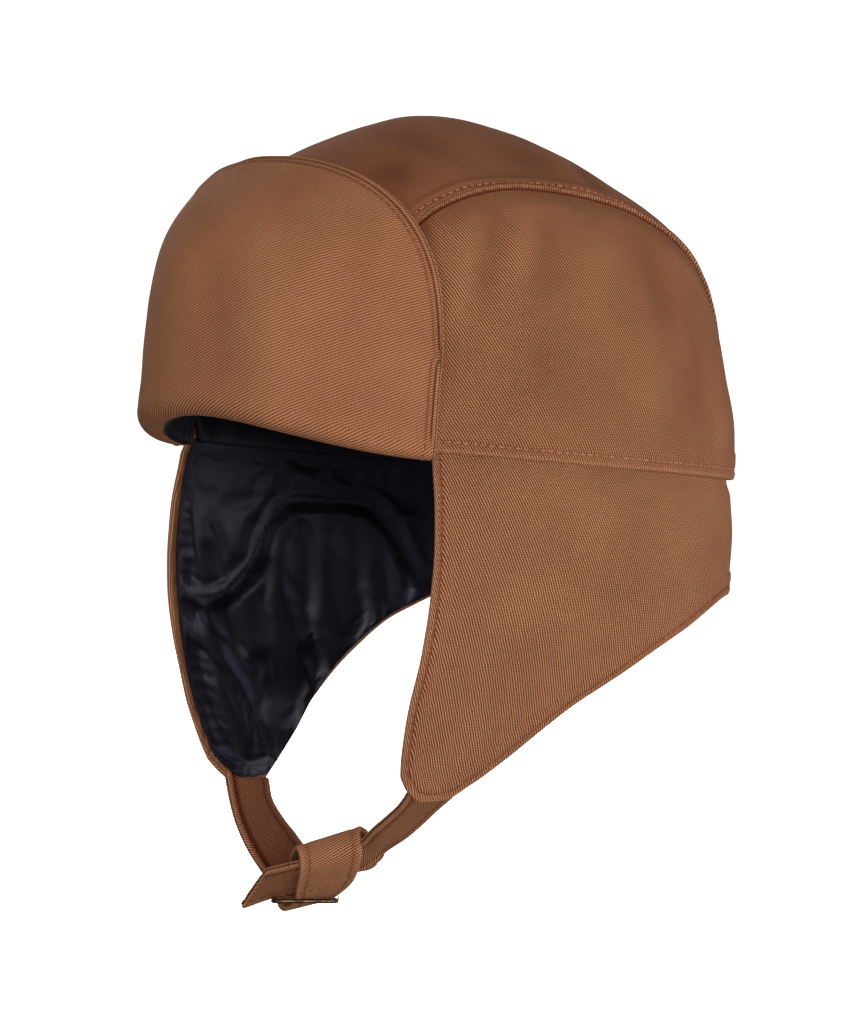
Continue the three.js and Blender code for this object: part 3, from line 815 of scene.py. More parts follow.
# The strip faces up, where little light falls, so its whole colour gets painted shade.
STRIP_PAINTED_SHADE = -0.46
STRIP_WAVES = [(1.3, 42, 1), (0.4, 15, 2)]
STRIP_DENTS = [
    ((39, -63, 89), (28, -56, 99), 8, 2.0),
    ((13, -45, 108), (34, -34, 105), 8, 1.3),
    ((46, -8, 101), (30, 0, 108), 10, 1.0),
    ((48, 20, 95), (30, 24, 103), 6, 1.7),
    ((-36, -50, 95), (-20, -30, 108), 10, 1.4),
    ((-20, 40, 98), (10, 52, 92), 12, 1.3),
]


def strip_grid(offset, u, v):
    return crown_point(strip_direction(1 - u, 2 * v - 1, -HALF_SEAM), offset)


def make_strip():
    rows = crowded(40, 1 / 110, 1 / 110)
    u, v = np.meshgrid(np.linspace(0, 1, STRIP_COLUMNS), rows, indexing="ij")
    plain = strip_grid(0.0, u, v)
    flat, area = lay_flat(plain, (0.2, 0.5), (0.8, 0.5), STRIP_RIBS)
    away = distance_to_lines(flat, edge_lines(flat, ["low", "high"]))
    relief = hem_relief(away, 0.8, 0.5, STRIP_INSET, 5)
    relief += waves(plain, STRIP_WAVES)
    relief += dents(plain, STRIP_DENTS)
    face = plain + square_to(plain) * shallow(relief)[..., None]
    # Painted shade: a dark line at the strip's very edge down in the seam, and darker cloth in the dents.
    tone = hem_wear_and_painted_light(away, STRIP_INSET) - 0.5 * hump(away, 0, 0.5) + STRIP_PAINTED_SHADE
    tone += 0.12 * waviness(plain, 30, 14) + 0.16 * dents(plain, STRIP_DENTS)
    back = strip_grid(-CLOTH, u, v)
    piece = make_shell("crown_strip_cloth", face, back, flat, SMOOTH_TWILL, tone=tone)
    SHEETS["crown_strip"] = (piece, area)
    hand_over(piece, "crown_strip")
    return face, flat


strip_face, strip_flat = make_strip()

# %% [markdown]
# ## The side panels
# A side panel is a tall half moon between the opening and the strip. Its upper edge is rolled over
# a cord-like fold, and its lower edge is turned up and sewn, and hangs a little over the ear flap.

# %% Make the two side panels
def panel_grid(offset, u, v, side):
    share = u if side > 0 else 1 - u
    seam = strip_direction(share, np.ones_like(share), HALF_SEAM)
    ends = strip_direction(np.array([0.0, 1.0]), np.ones(2), HALF_SEAM)
    from_angle, to_angle = np.arctan2(ends[:, 1] / HALF_LENGTH, ends[:, 0] / HALF_WIDTH)
    angle = mix(from_angle, to_angle, share)
    rim = rim_point(angle)
    rim[..., 2] = arch_height(angle)
    direction = mix(unit(rim), seam, v[..., None])
    direction[share == 0] = ends[0]
    direction[..., 0] *= side
    return crown_point(direction, offset)


PANEL_RIBS = math.radians(-15)
# The side panels' whole colour gets a little painted shade.
PANEL_PAINTED_SHADE = -0.13
PANEL_WAVES = [(1.5, 46, 3), (0.5, 17, 6)]
PANEL_DENTS = {
    1: [
        ((54, -61, 79), (57, -60, 69), 3.2, 2.2),
        ((61, -46, 80), (69, -57, 45), 4.5, -1.3),
        ((64, -36, 81), (71, -45, 50), 4.5, 1.6),
        ((64, -26, 84), (72, -33, 62), 4.5, -1.3),
        ((67, -15, 82), (76, -22, 58), 5.5, 1.4),
        ((70, 5, 81), (79, 0, 54), 8, -1.0),
        ((68, 27, 78), (79, 34, 46), 8, 1.2),
        ((82, -30, 40), (86, -10, 22), 9, 1.0),
        ((78, 30, 40), (84, 18, 14), 9, -0.9),
        ((72, 52, 44), (78, 46, 14), 8, 1.0),
    ],
    -1: [
        ((-61, -46, 80), (-69, -57, 48), 5, -1.2),
        ((-64, -36, 80), (-72, -42, 52), 5, 1.5),
        ((-67, -15, 82), (-76, -24, 58), 6, 1.3),
        ((-70, 8, 80), (-79, 2, 54), 8, -1.0),
        ((-80, -24, 42), (-86, -6, 22), 9, 1.0),
        ((-68, 30, 76), (-79, 36, 44), 8, 1.2),
    ],
}


def make_panel(name, side):
    columns = crowded(190, 1 / 260, 1 / 260)
    u, v = np.meshgrid(columns, crowded(60, 1 / 110, 1 / 110), indexing="ij")
    plain = panel_grid(0.0, u, v, side)
    flat, area = lay_flat(plain, (0.5, 0.1), (0.5, 0.8), PANEL_RIBS)
    at_opening = distance_to_lines(flat, edge_lines(flat, ["low"]))
    at_seam = distance_to_lines(flat, edge_lines(flat, ["high"]))
    relief = hem_relief(at_opening, 0.4, 0.45, STITCH_INSET, 8)
    lip = 1.2 * hump(at_seam, 0.35, 0.42) - 0.55 * hump(at_seam, 1.3, 0.5)
    lip -= 0.7 * hump(at_seam, 5, 3.2)
    dented = dents(plain, PANEL_DENTS[side])
    # Painted light and shade at the seam: a painted highlight on the rolled lip, a dark painted shadow
    # just under it and a soft one below; dents are painted darker in hollows and paler on ridges.
    tone = hem_wear_and_painted_light(at_opening) + 0.45 * hump(at_seam, 0.3, 0.4)
    tone -= 0.85 * hump(at_seam, 1.2, 0.38) + 0.26 * hump(at_seam, 3, 3.5)
    tone += PANEL_PAINTED_SHADE + calm_tone(plain, 3 + side) + 0.17 * dented
    calm = ease((at_opening - 6) / 14) * 0.7 + 0.3
    relief += calm * waves(plain, PANEL_WAVES, side)
    relief += dented * calm + lip
    face = plain + square_to(plain) * shallow(relief)[..., None]
    back = panel_grid(-CLOTH, u, v, side)
    piece = make_shell(name + "_cloth", face, back, flat, TWILL, tone=tone)
    SHEETS[name] = (piece, area)
    hand_over(piece, name)
    return face, flat


panel_faces = {}
for name, side in (("crown_side_left", 1), ("crown_side_right", -1)):
    panel_faces[side] = make_panel(name, side)

# %% [markdown]
# ## The ear flaps and the neck piece
# One long piece hangs from the opening: both ear flaps, joined behind by the neck piece. Low down
# it flattens, bellies out and closes towards the chin. Its front edges and its lower edge are
# turned in, which makes them thicker than the rest.

# %% Describe the hanging piece
TUCK = 3
SWING_OUT = 6
EAR_FLATNESS = 0.75
EAR_PLANE = 78
EAR_REACH = 70
FLATTEN_FROM = 30
FLATTEN_OVER = 80
CROWDING = 1.35
EAR_RIBS = math.radians(-12)
EAR_INSET = 2.5
# The ear flaps' whole colour is painted a little lighter.
EAR_PAINTED_LIGHT = 0.05
EAR_WAVES = [(1.6, 48, 11), (0.5, 18, 12)]
HEM_DEPTH = [
    (0, 112), (3, 116.5), (8, 119.5), (20, 118.5), (30, 113.5), (46, 102.5),
    (63, 88), (87, 70), (111, 55), (146, 41), (213, 37),
]
EAR_BELLY = [
    (-3, 0), (0, 0), (18, 2.6), (35, 3.7), (50, 2), (70, -3.8), (87, -11), (105, -19), (122, -27),
]
EAR_EDGE = [(0, 0), (35, 0.9), (70, 3), (87, 4.3), (105, 8.4), (122, 16)]


def measure_round():
    """Distance round the oval from the temple, against the angle."""
    angles = mix(TEMPLE - 0.2, math.pi / 2, np.linspace(0, 1, 301))
    steps = np.linalg.norm(np.diff(rim_point(angles), axis=0), axis=-1)
    along = np.concatenate([[0], np.cumsum(steps)])
    return along - along[np.argmax(angles >= TEMPLE)], angles


ROUND_ALONG, ROUND_ANGLE = measure_round()
TO_BACK = ROUND_ALONG[-1]


def hanging_point(along, depth):
    angle = np.interp(along, ROUND_ALONG, ROUND_ANGLE)
    inset = mix(CLOTH + LAYER_GAP, LAYER_GAP, ease((depth - 1) / SWING_OUT))
    p = rim_point(angle) - rim_outward(angle) * inset[..., None]
    ear = ease(rim_point(angle)[..., 0] / EAR_REACH)
    flatness = EAR_FLATNESS * ease((depth - FLATTEN_FROM) / FLATTEN_OVER) * ear
    p[..., 0] = mix(p[..., 0], EAR_PLANE, flatness) + read_table(EAR_BELLY, depth) * ear
    p[..., 2] = -depth
    return p


def hanging_sheet(u, v, top, margin):
    """From the left temple round the back to the right one, and from the hem to the top edge."""
    share = 1 - np.abs(2 * u - 1)
    along = TO_BACK * share**CROWDING
    depth = mix(top, read_table(HEM_DEPTH, along) - margin, 1 - v)
    behind = read_table(EAR_EDGE, depth) + margin
    p = hanging_point(mix(behind, TO_BACK, along / TO_BACK), depth)
    p[..., 0] = np.where(u > 0.5, -p[..., 0], p[..., 0])
    return p


def make_ear_flaps():
    u = crowded(330, 1 / 620, 1 / 620)
    u, v = np.meshgrid(u, crowded(46, 1 / 105, 0), indexing="ij")
    plain = hanging_sheet(u, v, -TUCK, 0)
    flat, area = lay_flat(plain, (0.5, 0.1), (0.5, 0.9), EAR_RIBS)
    away = distance_to_lines(flat, edge_lines(flat, ["low", "first", "last"]))
    relief = hem_relief(away, 0.6, 0.55, EAR_INSET, 6)
    below_seam = ease((-plain[..., 2] - 4) / 18)
    relief += below_seam * waves(plain, EAR_WAVES)
    square = square_to(plain)
    face = plain + square * shallow(relief)[..., None]
    back = plain - square * CLOTH
    tone = hem_wear_and_painted_light(away, EAR_INSET) + calm_tone(plain, 11) + EAR_PAINTED_LIGHT
    piece = make_shell("ear_flaps_cloth", face, back, flat, EAR_TWILL, tone=tone)
    SHEETS["ear_flaps"] = (piece, area)
    hand_over(piece, "ear_flaps")
    return face, flat


ear_face, ear_flat = make_ear_flaps()

# %% [markdown]
# ## The turned-up front flap
# The front flap is two layers of twill, sewn together inside out and turned, so its edge shows
# both layers with a fine groove between them. It is folded up at the forehead, and the fold is
# round because four layers won't crease sharply.

# %% Make the front flap
FLAP_CLOTH = 2.4
FLAP_HEM = 9
FLAP_STANDOFF = 6.2
FOLD_AT_TEMPLE = -2.6
FOLD_AT_MIDDLE = 7
FLAP_SHOULDER = 20
FLAP_TOP = 96
FLAP_NARROWING = 0.14
FLAP_LEAN = 0.31
FLAP_SPAN = 0.994
SHOULDER_POWER = 2.5
TOP_POWER = 0.32
LEAN_POWER = 4.5
HEM_SHARE = 0.1
FOLD_SHARE = 0.28
END_COLUMN = 0.01
FLAP_RIBS = math.radians(60)
FLAP_INSET = 3.2
FLAP_WAVES = [(1.3, 50, 21), (0.35, 16, 22)]
FLAP_SWELL = (0.9, 26, 23)
FLAP_DENTS = [
    ((-27, -84, 92), (12, -113, 45), 8, 1.4),
    ((12, -113, 45), (16, -113, 12), 8, 1.4),
    ((4, -92, 90), (32, -108, 46), 8, -1.1),
    ((32, -108, 46), (34, -107, 14), 8, -1.1),
    ((52, -90, 70), (56, -88, 30), 8, 0.9),
]
# The third column is the tone: a painted highlight on the rounded rim, and painted shade in the groove
# between the two layers.
LAPPED_EDGE = [
    (0.95, 0.02, 0.5),
    (0.72, 0.12, 0.5),
    (0.50, 0.16, -0.9),
    (0.36, 0.26, -1.0),
    (0.26, 0.48, -0.9),
    (0.22, 0.62, 0.3),
    (0.0, 0.95, 0.7),
    (-0.4, 1.1, 0.6),
    (-0.85, 0.85, 0.3),
]


def fold_height(across):
    return mix(FOLD_AT_TEMPLE, FOLD_AT_MIDDLE, ease(1 - across))


def flap_surface(u, v):
    """The middle of the flap's cloth, from its hem inside the opening, round the fold and up."""
    across = -np.cos(math.pi * mix(END_COLUMN, 1 - END_COLUMN, u))
    middle = 1 - across * across
    angle = FLAP_SPAN * across * (TEMPLE + math.pi / 2) - math.pi / 2
    fold = fold_height(np.abs(across))
    inside = -CLOTH - LAYER_GAP - FLAP_CLOTH / 2
    outside = SEAM_GAP + FLAP_CLOTH / 2 + FLAP_STANDOFF * middle
    radius = (outside - inside) / 2
    turn = math.pi * np.clip((v - HEM_SHARE) / (FOLD_SHARE - HEM_SHARE), 0, 1)
    stand = (inside + outside) / 2 - radius * np.cos(turn)
    top = mix(FLAP_SHOULDER, FLAP_TOP, (1 - np.abs(across) ** SHOULDER_POWER) ** TOP_POWER)
    height = fold + radius - radius * np.sin(turn)
    height = np.where(v < HEM_SHARE, mix(fold + FLAP_HEM, fold + radius, v / HEM_SHARE), height)
    rising = mix(fold + radius, top, (v - FOLD_SHARE) / (1 - FOLD_SHARE))
    height = np.where(v > FOLD_SHARE, rising, height)
    p = rim_point(angle)
    along_crown = mix(np.cos(np.arcsin(np.maximum(0, height) / CROWN_HEIGHT)), 1, turn / math.pi)
    leaning = (np.maximum(0, height) / FLAP_TOP) ** LEAN_POWER
    upper = v >= FOLD_SHARE
    p[..., 0] *= np.where(upper, 1 - FLAP_NARROWING * leaning, along_crown)
    p[..., 1] *= np.where(upper, 1 - FLAP_LEAN * leaning, along_crown)
    p[..., 2] = height
    return p + rim_outward(angle) * stand[..., None]


def make_flap():
    hem_rows = np.linspace(0, HEM_SHARE, 6)
    fold_rows = mix(HEM_SHARE, FOLD_SHARE, np.linspace(0, 1, 16))
    upper_rows = mix(FOLD_SHARE, 1, crowded(50, 0, 1 / 130))
    rows = np.unique(np.concatenate([hem_rows, fold_rows, upper_rows]))
    u, v = np.meshgrid(np.linspace(0, 1, 260), rows, indexing="ij")
    middle = flap_surface(u, v)
    flat, area = lay_flat(middle, (0.5, 0.35), (0.5, 0.95), FLAP_RIBS)
    away = distance_to_lines(flat, edge_lines(flat, ["high", "first", "last"]))
    outside = ease((v - FOLD_SHARE) / 0.1)
    relief = hem_relief(away, 0.3, 0.55, FLAP_INSET, 6) * outside
    relief += outside * waves(middle, FLAP_WAVES)
    upright = np.array([(1, 1, 0.12)]) * middle
    height, size, seed = FLAP_SWELL
    relief += outside * height * waviness(upright, size, seed) * ease((away - 3) / 10)
    folds = dents(middle, FLAP_DENTS)
    groove = lap_groove(away)
    relief += outside * (folds - 0.55 * groove)
    # Painted shade in the groove between the flap's two layers; the folds are painted darker in their
    # hollows and paler on their ridges.
    tone = hem_wear_and_painted_light(away, FLAP_INSET) - 1.1 * groove + calm_tone(middle, 21) + 0.09 * folds
    square = square_to(middle)
    face = middle + square * (FLAP_CLOTH / 2 + shallow(relief))[..., None]
    back = middle - square * FLAP_CLOTH / 2
    tone = outside * tone
    piece = make_shell("front_flap_cloth", face, back, flat, FLAP_TWILL, LAPPED_EDGE, tone=tone)
    SHEETS["front_flap"] = (piece, area)
    hand_over(piece, "front_flap")
    return face, flat


flap_face, flap_flat = make_flap()

# %% [markdown]
# ## The quilted linings
# Satin is quilted onto thin padding in large arcs, so it puffs between the sewn lines and gathers
# along them. The crown's lining is a bowl, with a band that goes down over the flap's hem and into
# its fold, and the flaps' lining covers the inside of the hanging piece. The crown's padding is hidden
# high in the hat, so its puffing is worked out from its grid. The flaps' satin is what the picture
# shows, so it is sewn down and then blown up as cloth.

# %% Make the linings
LINING_LOW = -1
LINING_EASE = 10
LINING_MARGIN = 0.9
CORNER_RUN = 0.035
CROWN_GATHERS = 46
CROWN_GATHER_DEPTH = 0.45
CROWN_PUFFS = 9
CROWN_PUFF_HEIGHT = 0.5
CROWN_FLAT_ROUND = 95
CROWN_FLAT_HEIGHT = 160
GATHER_LENGTH = 4.6
GATHER_DEPTH = 0.24
FACING_RISE = 5
FACING_FLARE = 0.25
FACING_HEIGHT = 24
FACING_OFF = 0.7
FACING_CLEAR = 0.12
FACING_START = 0.004
FACING_END = mix(HEM_SHARE, FOLD_SHARE, 0.27)
FACING_ROWS = 26


def lining_edge(angle):
    nearer = np.where(angle > math.pi / 2, math.pi - angle, angle)
    across = 1 - np.clip(towards_forehead(nearer), 0, 1)
    over_hem = fold_height(across) + FLAP_HEM + LAYER_GAP + SEAM_GAP
    return mix(over_hem, LINING_LOW, np.clip((nearer - TEMPLE) / CORNER_RUN, 0, 1))


def crown_lining(inward, u, v):
    angle = mix(-math.pi / 2, 1.5 * math.pi, u)
    lowest = np.arcsin(lining_edge(angle) / CROWN_HEIGHT)
    rise = mix(lowest, math.pi / 2, v)
    direction = rim_point(angle) * np.cos(rise)[..., None]
    direction[..., 2] = CROWN_HEIGHT * np.sin(rise)
    over_tuck = 1 - ease((direction[..., 2] - TUCK - 1) / LINING_EASE)
    layers = (CLOTH + LAYER_GAP) * (1 + over_tuck)
    return crown_point(direction, -layers - inward)


def make_crown_lining():
    u, v = np.meshgrid(np.linspace(0, 1, 241), np.linspace(0, 1, 70), indexing="ij")
    inside = crown_lining(QUILT, u, v)
    angle = u * 2 * math.pi
    stray = 5 * waviness(inside, 20, 31)
    gathers = CROWN_GATHER_DEPTH * np.sin(angle * CROWN_GATHERS + stray) * hump(v, 0, 0.16)
    puff = CROWN_PUFF_HEIGHT * np.cos(angle * CROWN_PUFFS) * ease(v * 4) * ease((1 - v) * 3)
    inside = crown_lining(QUILT + gathers + puff + 0.5 * waviness(inside, 25, 32), u, v)
    outside = crown_lining(0.0, u, v)
    flat = np.stack([angle * CROWN_FLAT_ROUND, v * CROWN_FLAT_HEIGHT], -1) * MM
    piece = make_shell("crown_lining_quilt", outside, inside, flat, SATIN, FOLDED_EDGE, True)
    return hand_over(piece, "crown_lining")


crown_lining_piece = make_crown_lining()


def make_facing():
    """The lining's lower band, which goes down over the flap's hem and into its fold."""
    columns = np.linspace(FACING_START, 1 - FACING_START, 261)
    u, v = np.meshgrid(columns, np.linspace(0, 1, FACING_ROWS), indexing="ij")
    on_flap = np.maximum(0, v - FACING_FLARE) / (1 - FACING_FLARE)
    plain = flap_surface(u, mix(FACING_START, FACING_END, on_flap))
    square = square_to(flap_surface(u, mix(FACING_START / 2, FACING_END, v)))
    plain[..., 2] += FACING_RISE * np.maximum(0, FACING_FLARE - v) / FACING_FLARE
    steps = np.linalg.norm(np.diff(plain[:, FACING_ROWS // 2], axis=0), axis=-1)
    across = np.concatenate([[0], np.cumsum(steps)])[:, None] + 0 * v
    phase = 2 * math.pi * across / GATHER_LENGTH + 5 * waviness(plain, 20, 33)
    gathers = np.sin(phase) * np.sin(math.pi * v)
    face = plain + square * (FLAP_CLOTH / 2 + FACING_OFF + GATHER_DEPTH * gathers)[..., None]
    back = plain + square * (FLAP_CLOTH / 2 + FACING_CLEAR)
    flat = np.stack([across, v * FACING_HEIGHT], -1) * MM
    piece = make_shell("crown_lining_facing", face, back, flat, SATIN)
    return hand_over(piece, "crown_lining")


make_facing()

# %% [markdown]
# ## The quilting
# The flaps' lining is satin over wadding, sewn through along wide arcs. The sewn lines hold it down
# and the wadding lifts it between them, with small gathers where the satin was fed in too fast. This
# is what Blender's cloth simulation is for: the sewn lines and the edge are pinned, the satin is a
# few per cent too large for its place, and a light pressure from behind lifts it. Gravity is left
# out, because the padding carries the satin, and no point may move far.

# %% Mark the sewn lines
ARCS = [
    [
        (0, 57), (20, 57), (38, 52), (53, 41), (60, 30), (69, 22),
        (84, 20), (99, 19), (110, 24), (117, 31), (123, 38), (128, 50),
    ],
    [(0, 66), (14, 68), (27, 72), (34, 78), (37, 87), (40, 106)],
    [(50, 3), (64, 6), (78, 10), (92, 10), (106, 3)],
    [(128, 3), (146, 17), (166, 23), (186, 17), (202, 3)],
    [(170, 39), (192, 30), (216.5, 27)],
]
SEAM_DROP = 3.5


def on_lining(rows, side):
    """Places on the hanging sheet, as shares of its grid, for rows of (along, depth)."""
    along, depth = np.array(rows, float).T
    fine = np.linspace(0, len(rows) - 1, 8 * len(rows))
    row = np.arange(len(rows))
    along = read_table(list(zip(row, along)), fine)
    depth = read_table(list(zip(row, depth)), fine)
    share = (along / TO_BACK) ** (1 / CROWDING) / 2
    hem = read_table(HEM_DEPTH, along) - LINING_MARGIN
    top_edge = -LINING_LOW + SEAM_GAP
    return np.where(side > 0, share, 1 - share), 1 - (depth - top_edge) / (hem - top_edge)


def quilt_lines(flat):
    lines = []
    for side in (1, -1):
        for rows in ARCS:
            lines.append(read_grid(flat, *on_lining(rows, side)))
    along = np.linspace(1, TO_BACK, 60)
    for side in (1, -1):
        lines.append(read_grid(flat, *on_lining([(a, SEAM_DROP) for a in along[::6]], side)))
    return lines


# %% Let the satin puff up
PUFF_FRAMES = 20
PUFF_LIMIT = 4.5
SATIN_CLOTH = {
    "quality": 6,
    "mass": 0.12,
    "tension_stiffness": 12,
    "compression_stiffness": 12,
    "shear_stiffness": 4,
    "bending_stiffness": 0.35,
    "vertex_group_mass": "sewn",
    "shrink_min": -0.022,
    "use_pressure": True,
    "uniform_pressure_force": 2.0,
}
THINNEST = 0.5
AT_SEAM = 0.9
PINNED_WITHIN = 0.9
FOLD_LENGTH = 21
FOLD_DEPTH = 1.1


def puff_up(name, start, sewn):
    """Simulates a grid of points that is pinned where sewn is true; returns its new points."""
    quads = grid_quads(*start.shape[:2])[1][:, BACK_ORDER]
    mesh = bpy.data.meshes.new(name)
    mesh.from_pydata((start.reshape(-1, 3) * MM).tolist(), [], quads.tolist())
    satin = add_object(name, mesh)
    pins = satin.vertex_groups.new(name="sewn")
    pins.add(np.nonzero(sewn.ravel())[0].tolist(), 1.0, "REPLACE")
    cloth = satin.modifiers.new("cloth", "CLOTH")
    for setting, value in SATIN_CLOTH.items():
        setattr(cloth.settings, setting, value)
    cloth.settings.effector_weights.gravity = 0
    cloth.collision_settings.use_collision = False
    cloth.point_cache.frame_start = 1
    cloth.point_cache.frame_end = PUFF_FRAMES
    for frame_number in range(1, PUFF_FRAMES + 1):
        bpy.context.scene.frame_set(frame_number)
    moved = satin.evaluated_get(bpy.context.evaluated_depsgraph_get()).to_mesh()
    found = np.zeros(start.size)
    moved.vertices.foreach_get("co", found)
    bpy.data.objects.remove(satin)
    bpy.context.scene.frame_set(1)
    step = found.reshape(start.shape) / MM - start
    size = np.linalg.norm(step, axis=-1, keepdims=True)
    print(name, "moved", size.mean().round(2), "mm on average,", size.max().round(2), "at most")
    return start + step * np.minimum(1, PUFF_LIMIT / np.maximum(size, 1e-9))


def make_flap_lining():
    u, v = np.meshgrid(crowded(300, 1 / 620, 1 / 620), crowded(66, 1 / 110, 1 / 110), indexing="ij")
    plain = hanging_sheet(u, v, -LINING_LOW + SEAM_GAP, LINING_MARGIN)
    square = square_to(plain)
    flat, _ = lay_flat(plain, (0.5, 0.1), (0.5, 0.9), 0.0)
    outside = plain - square * (CLOTH + LAYER_GAP)
    edge = distance_to_lines(flat, edge_lines(flat, ["low", "first", "last", "high"]))
    sewn_at = distance_to_lines(flat, quilt_lines(flat))
    loose = ease((np.minimum(edge, sewn_at) - 0.3) / 6)
    along = TO_BACK * (1 - np.abs(2 * u - 1)) ** CROWDING
    folds = FOLD_DEPTH * np.sin(2 * math.pi * (along + 4 * waviness(plain, 40, 43)) / FOLD_LENGTH)
    padding = AT_SEAM + (QUILT - AT_SEAM + folds * ease((-plain[..., 2] - 18) / 20)) * loose
    front = distance_to_lines(flat, edge_lines(flat, ["first", "last"]))
    gathers = np.sin(2 * math.pi * plain[..., 2] / GATHER_LENGTH + 4 * waviness(plain, 14, 44))
    padding += GATHER_DEPTH * gathers * hump(front, 3, 5) * loose
    start = outside - square * padding[..., None]
    sewn = (edge < 0.1) | (sewn_at < PINNED_WITHIN)
    inside = puff_up("lining_satin", start, sewn)
    depth = ((outside - inside) * square).sum(-1)
    inside = inside - square * np.maximum(0, THINNEST - depth)[..., None]
    piece = make_shell("flap_lining_quilt", outside, inside, flat, SATIN)
    return hand_over(piece, "flap_lining"), inside


flap_lining_piece, flap_lining_face = make_flap_lining()

# %% [markdown]
# ## The chin strap
# Two flat straps of the same twill come down from the ear flaps' lower corners and lap in a cloth
# loop under the chin. Each follows a smooth curve, and its rear edge leans from row to row, which
# gives the twist of a real strap. The loop lies beside the wearer's chin, turned to one side: RUN
# is the way along it, CROSSWISE the way across the straps, and FACE is square to both. The tables
# give both edges of a strap, row by row, as seen by the camera: to the right, up and away.

# %% Describe the straps
LOOP_TURN = math.radians(52)
LOOP_SLOPE = math.radians(14)
LOOP_TILT = math.radians(52)
STRAP_WIDTH = 16
STRAP_CLOTH = 2.2
STRAP_INSET = 2.4
STRAP_GROOVE_AT = 1.5
STRAP_GROOVE_WIDTH = 0.36


def blend_ways(a, b, angle):
    return unit(a * math.cos(angle) + b * math.sin(angle))


LEVEL = np.array([math.cos(LOOP_TURN), math.sin(LOOP_TURN), 0])
SIDEWAYS = np.array([math.sin(LOOP_TURN), -math.cos(LOOP_TURN), 0])
RUN = blend_ways(LEVEL, UP, LOOP_SLOPE)
SQUARE = blend_ways(UP, LEVEL, -LOOP_SLOPE)
CROSSWISE = blend_ways(SQUARE, SIDEWAYS, LOOP_TILT)
FACE = blend_ways(SIDEWAYS, SQUARE, -LOOP_TILT)
VIEW = np.array([right, above, forward])
NEAR_EDGES = [
    ((-12, -115, -70), (1.5, -117, -60)),
    ((-15.5, -120.5, -62), (-4, -122, -51)),
    ((-20, -125, -54), (-8.5, -126.5, -43)),
    ((-25, -129.5, -46), (-14, -131.5, -34)),
    ((-28.5, -133.5, -37), (-21, -136.5, -23)),
    ((-32.5, -136, -32), (-27.5, -142, -17)),
    ((-41, -140.5, -30), (-39.5, -147.5, -15.5)),
    ((-49.5, -141, -29.5), (-49.5, -150.5, -15.5)),
    ((-56, -142.5, -29), (-59, -152.5, -15)),
    ((-62, -144, -28), (-70.5, -156.5, -14)),
]
FAR_EDGES = [
    ((-76.5, -111.5, 13), (-63, -114, 24)),
    ((-75, -119.5, 9), (-61.5, -121, 18)),
    ((-73, -127, 4), (-57.5, -127.5, 12)),
    ((-69.5, -135, -2), (-52.5, -133.5, 5)),
    ((-65.5, -141.5, -8), (-49.5, -138.5, 0)),
    ((-61.5, -145, -19), (-51.5, -145, -7)),
    ((-55.5, -143, -27), (-54, -149.5, -13)),
    ((-41.5, -139, -27.3), (-40, -145.5, -12.6)),
    ((-32.5, -137, -26.5), (-31.5, -144, -11)),
    ((-27, -135.5, -25), (-26, -143, -9.5)),
    ((-22, -134.5, -23.5), (-22.5, -141, -9)),
]


def smooth_curve(knots, count):
    """A centripetal curve through points."""
    first = 2 * knots[0] - knots[1]
    last = 2 * knots[-1] - knots[-2]
    padded = np.array([first, *knots, last])
    gaps = np.sqrt(np.linalg.norm(np.diff(padded, axis=0), axis=-1))
    t = np.concatenate([[0], np.cumsum(gaps)])
    row = np.linspace(0, len(knots) - 1, count)
    i = np.minimum(row.astype(int), len(knots) - 2) + 1
    x = mix(t[i], t[i + 1], row - (i - 1))[:, None]

    def between(a, b, ta, tb):
        return ((tb - x) * a + (x - ta) * b) / (tb - ta)

    ti = [t[i + k][:, None] for k in (-1, 0, 1, 2)]
    pi = [padded[i + k] for k in (-1, 0, 1, 2)]
    a1, a2, a3 = (between(pi[k], pi[k + 1], ti[k], ti[k + 1]) for k in range(3))
    b1 = between(a1, a2, ti[0], ti[2])
    b2 = between(a2, a3, ti[1], ti[3])
    return between(b1, b2, ti[1], ti[2])


# %% Make the two straps
def strap_grids(edges, cut, count):
    """The strap's middle, the way square to it towards the camera, and its flat map."""
    sides = [smooth_curve([np.array(row[n], float) @ VIEW for row in edges], 500) for n in (0, 1)]
    centre = (sides[0] + sides[1]) / 2
    length = np.concatenate([[0], np.cumsum(np.linalg.norm(np.diff(centre, axis=0), axis=-1))])
    u, v = np.meshgrid(np.linspace(0, 1, count), crowded(10, 1 / 44, 1 / 44), indexing="ij")
    share = u * (length[-1] - cut(v))
    first, second = (
        np.stack([np.interp(share, length, side[:, n]) for n in range(3)], -1) for side in sides
    )
    p = mix(first, second, v[..., None])
    flat = np.stack([(v - 0.5) * STRAP_WIDTH, share], -1) * MM
    return p, square_to(p), flat, v


def make_strap(name, edges, cut, count, rib_turn, shade):
    middle, outward, flat, v = strap_grids(edges, cut, count)
    edge = np.minimum(v, 1 - v) * STRAP_WIDTH
    relief = 0.15 - 0.3 * hump(edge, STRAP_INSET, 0.6) - 0.1 * hump(edge, 0, 0.5)
    groove = lap_groove(v * STRAP_WIDTH, STRAP_GROOVE_AT, STRAP_GROOVE_WIDTH)
    relief -= 0.4 * groove
    # Painted shade in the groove between the strap's layers; shade is painted shade over the whole strap.
    tone = hem_wear_and_painted_light(edge, STRAP_INSET) - 1.0 * groove + shade
    face = middle + outward * (STRAP_CLOTH / 2 + relief)[..., None]
    back = middle - outward * (STRAP_CLOTH / 2 + relief)[..., None]
    flat = turn_flat(flat, math.radians(rib_turn))
    piece = make_shell(name + "_cloth", face, back, flat, EAR_TWILL, SEWN_EDGE, tipped=False, tone=tone)
    return hand_over(piece, name)


def square_end(v):
    return 0 * v


def round_end(v):
    return STRAP_WIDTH / 2 * (1 - np.sqrt(np.maximum(0, 1 - (2 * v - 1) ** 2)))


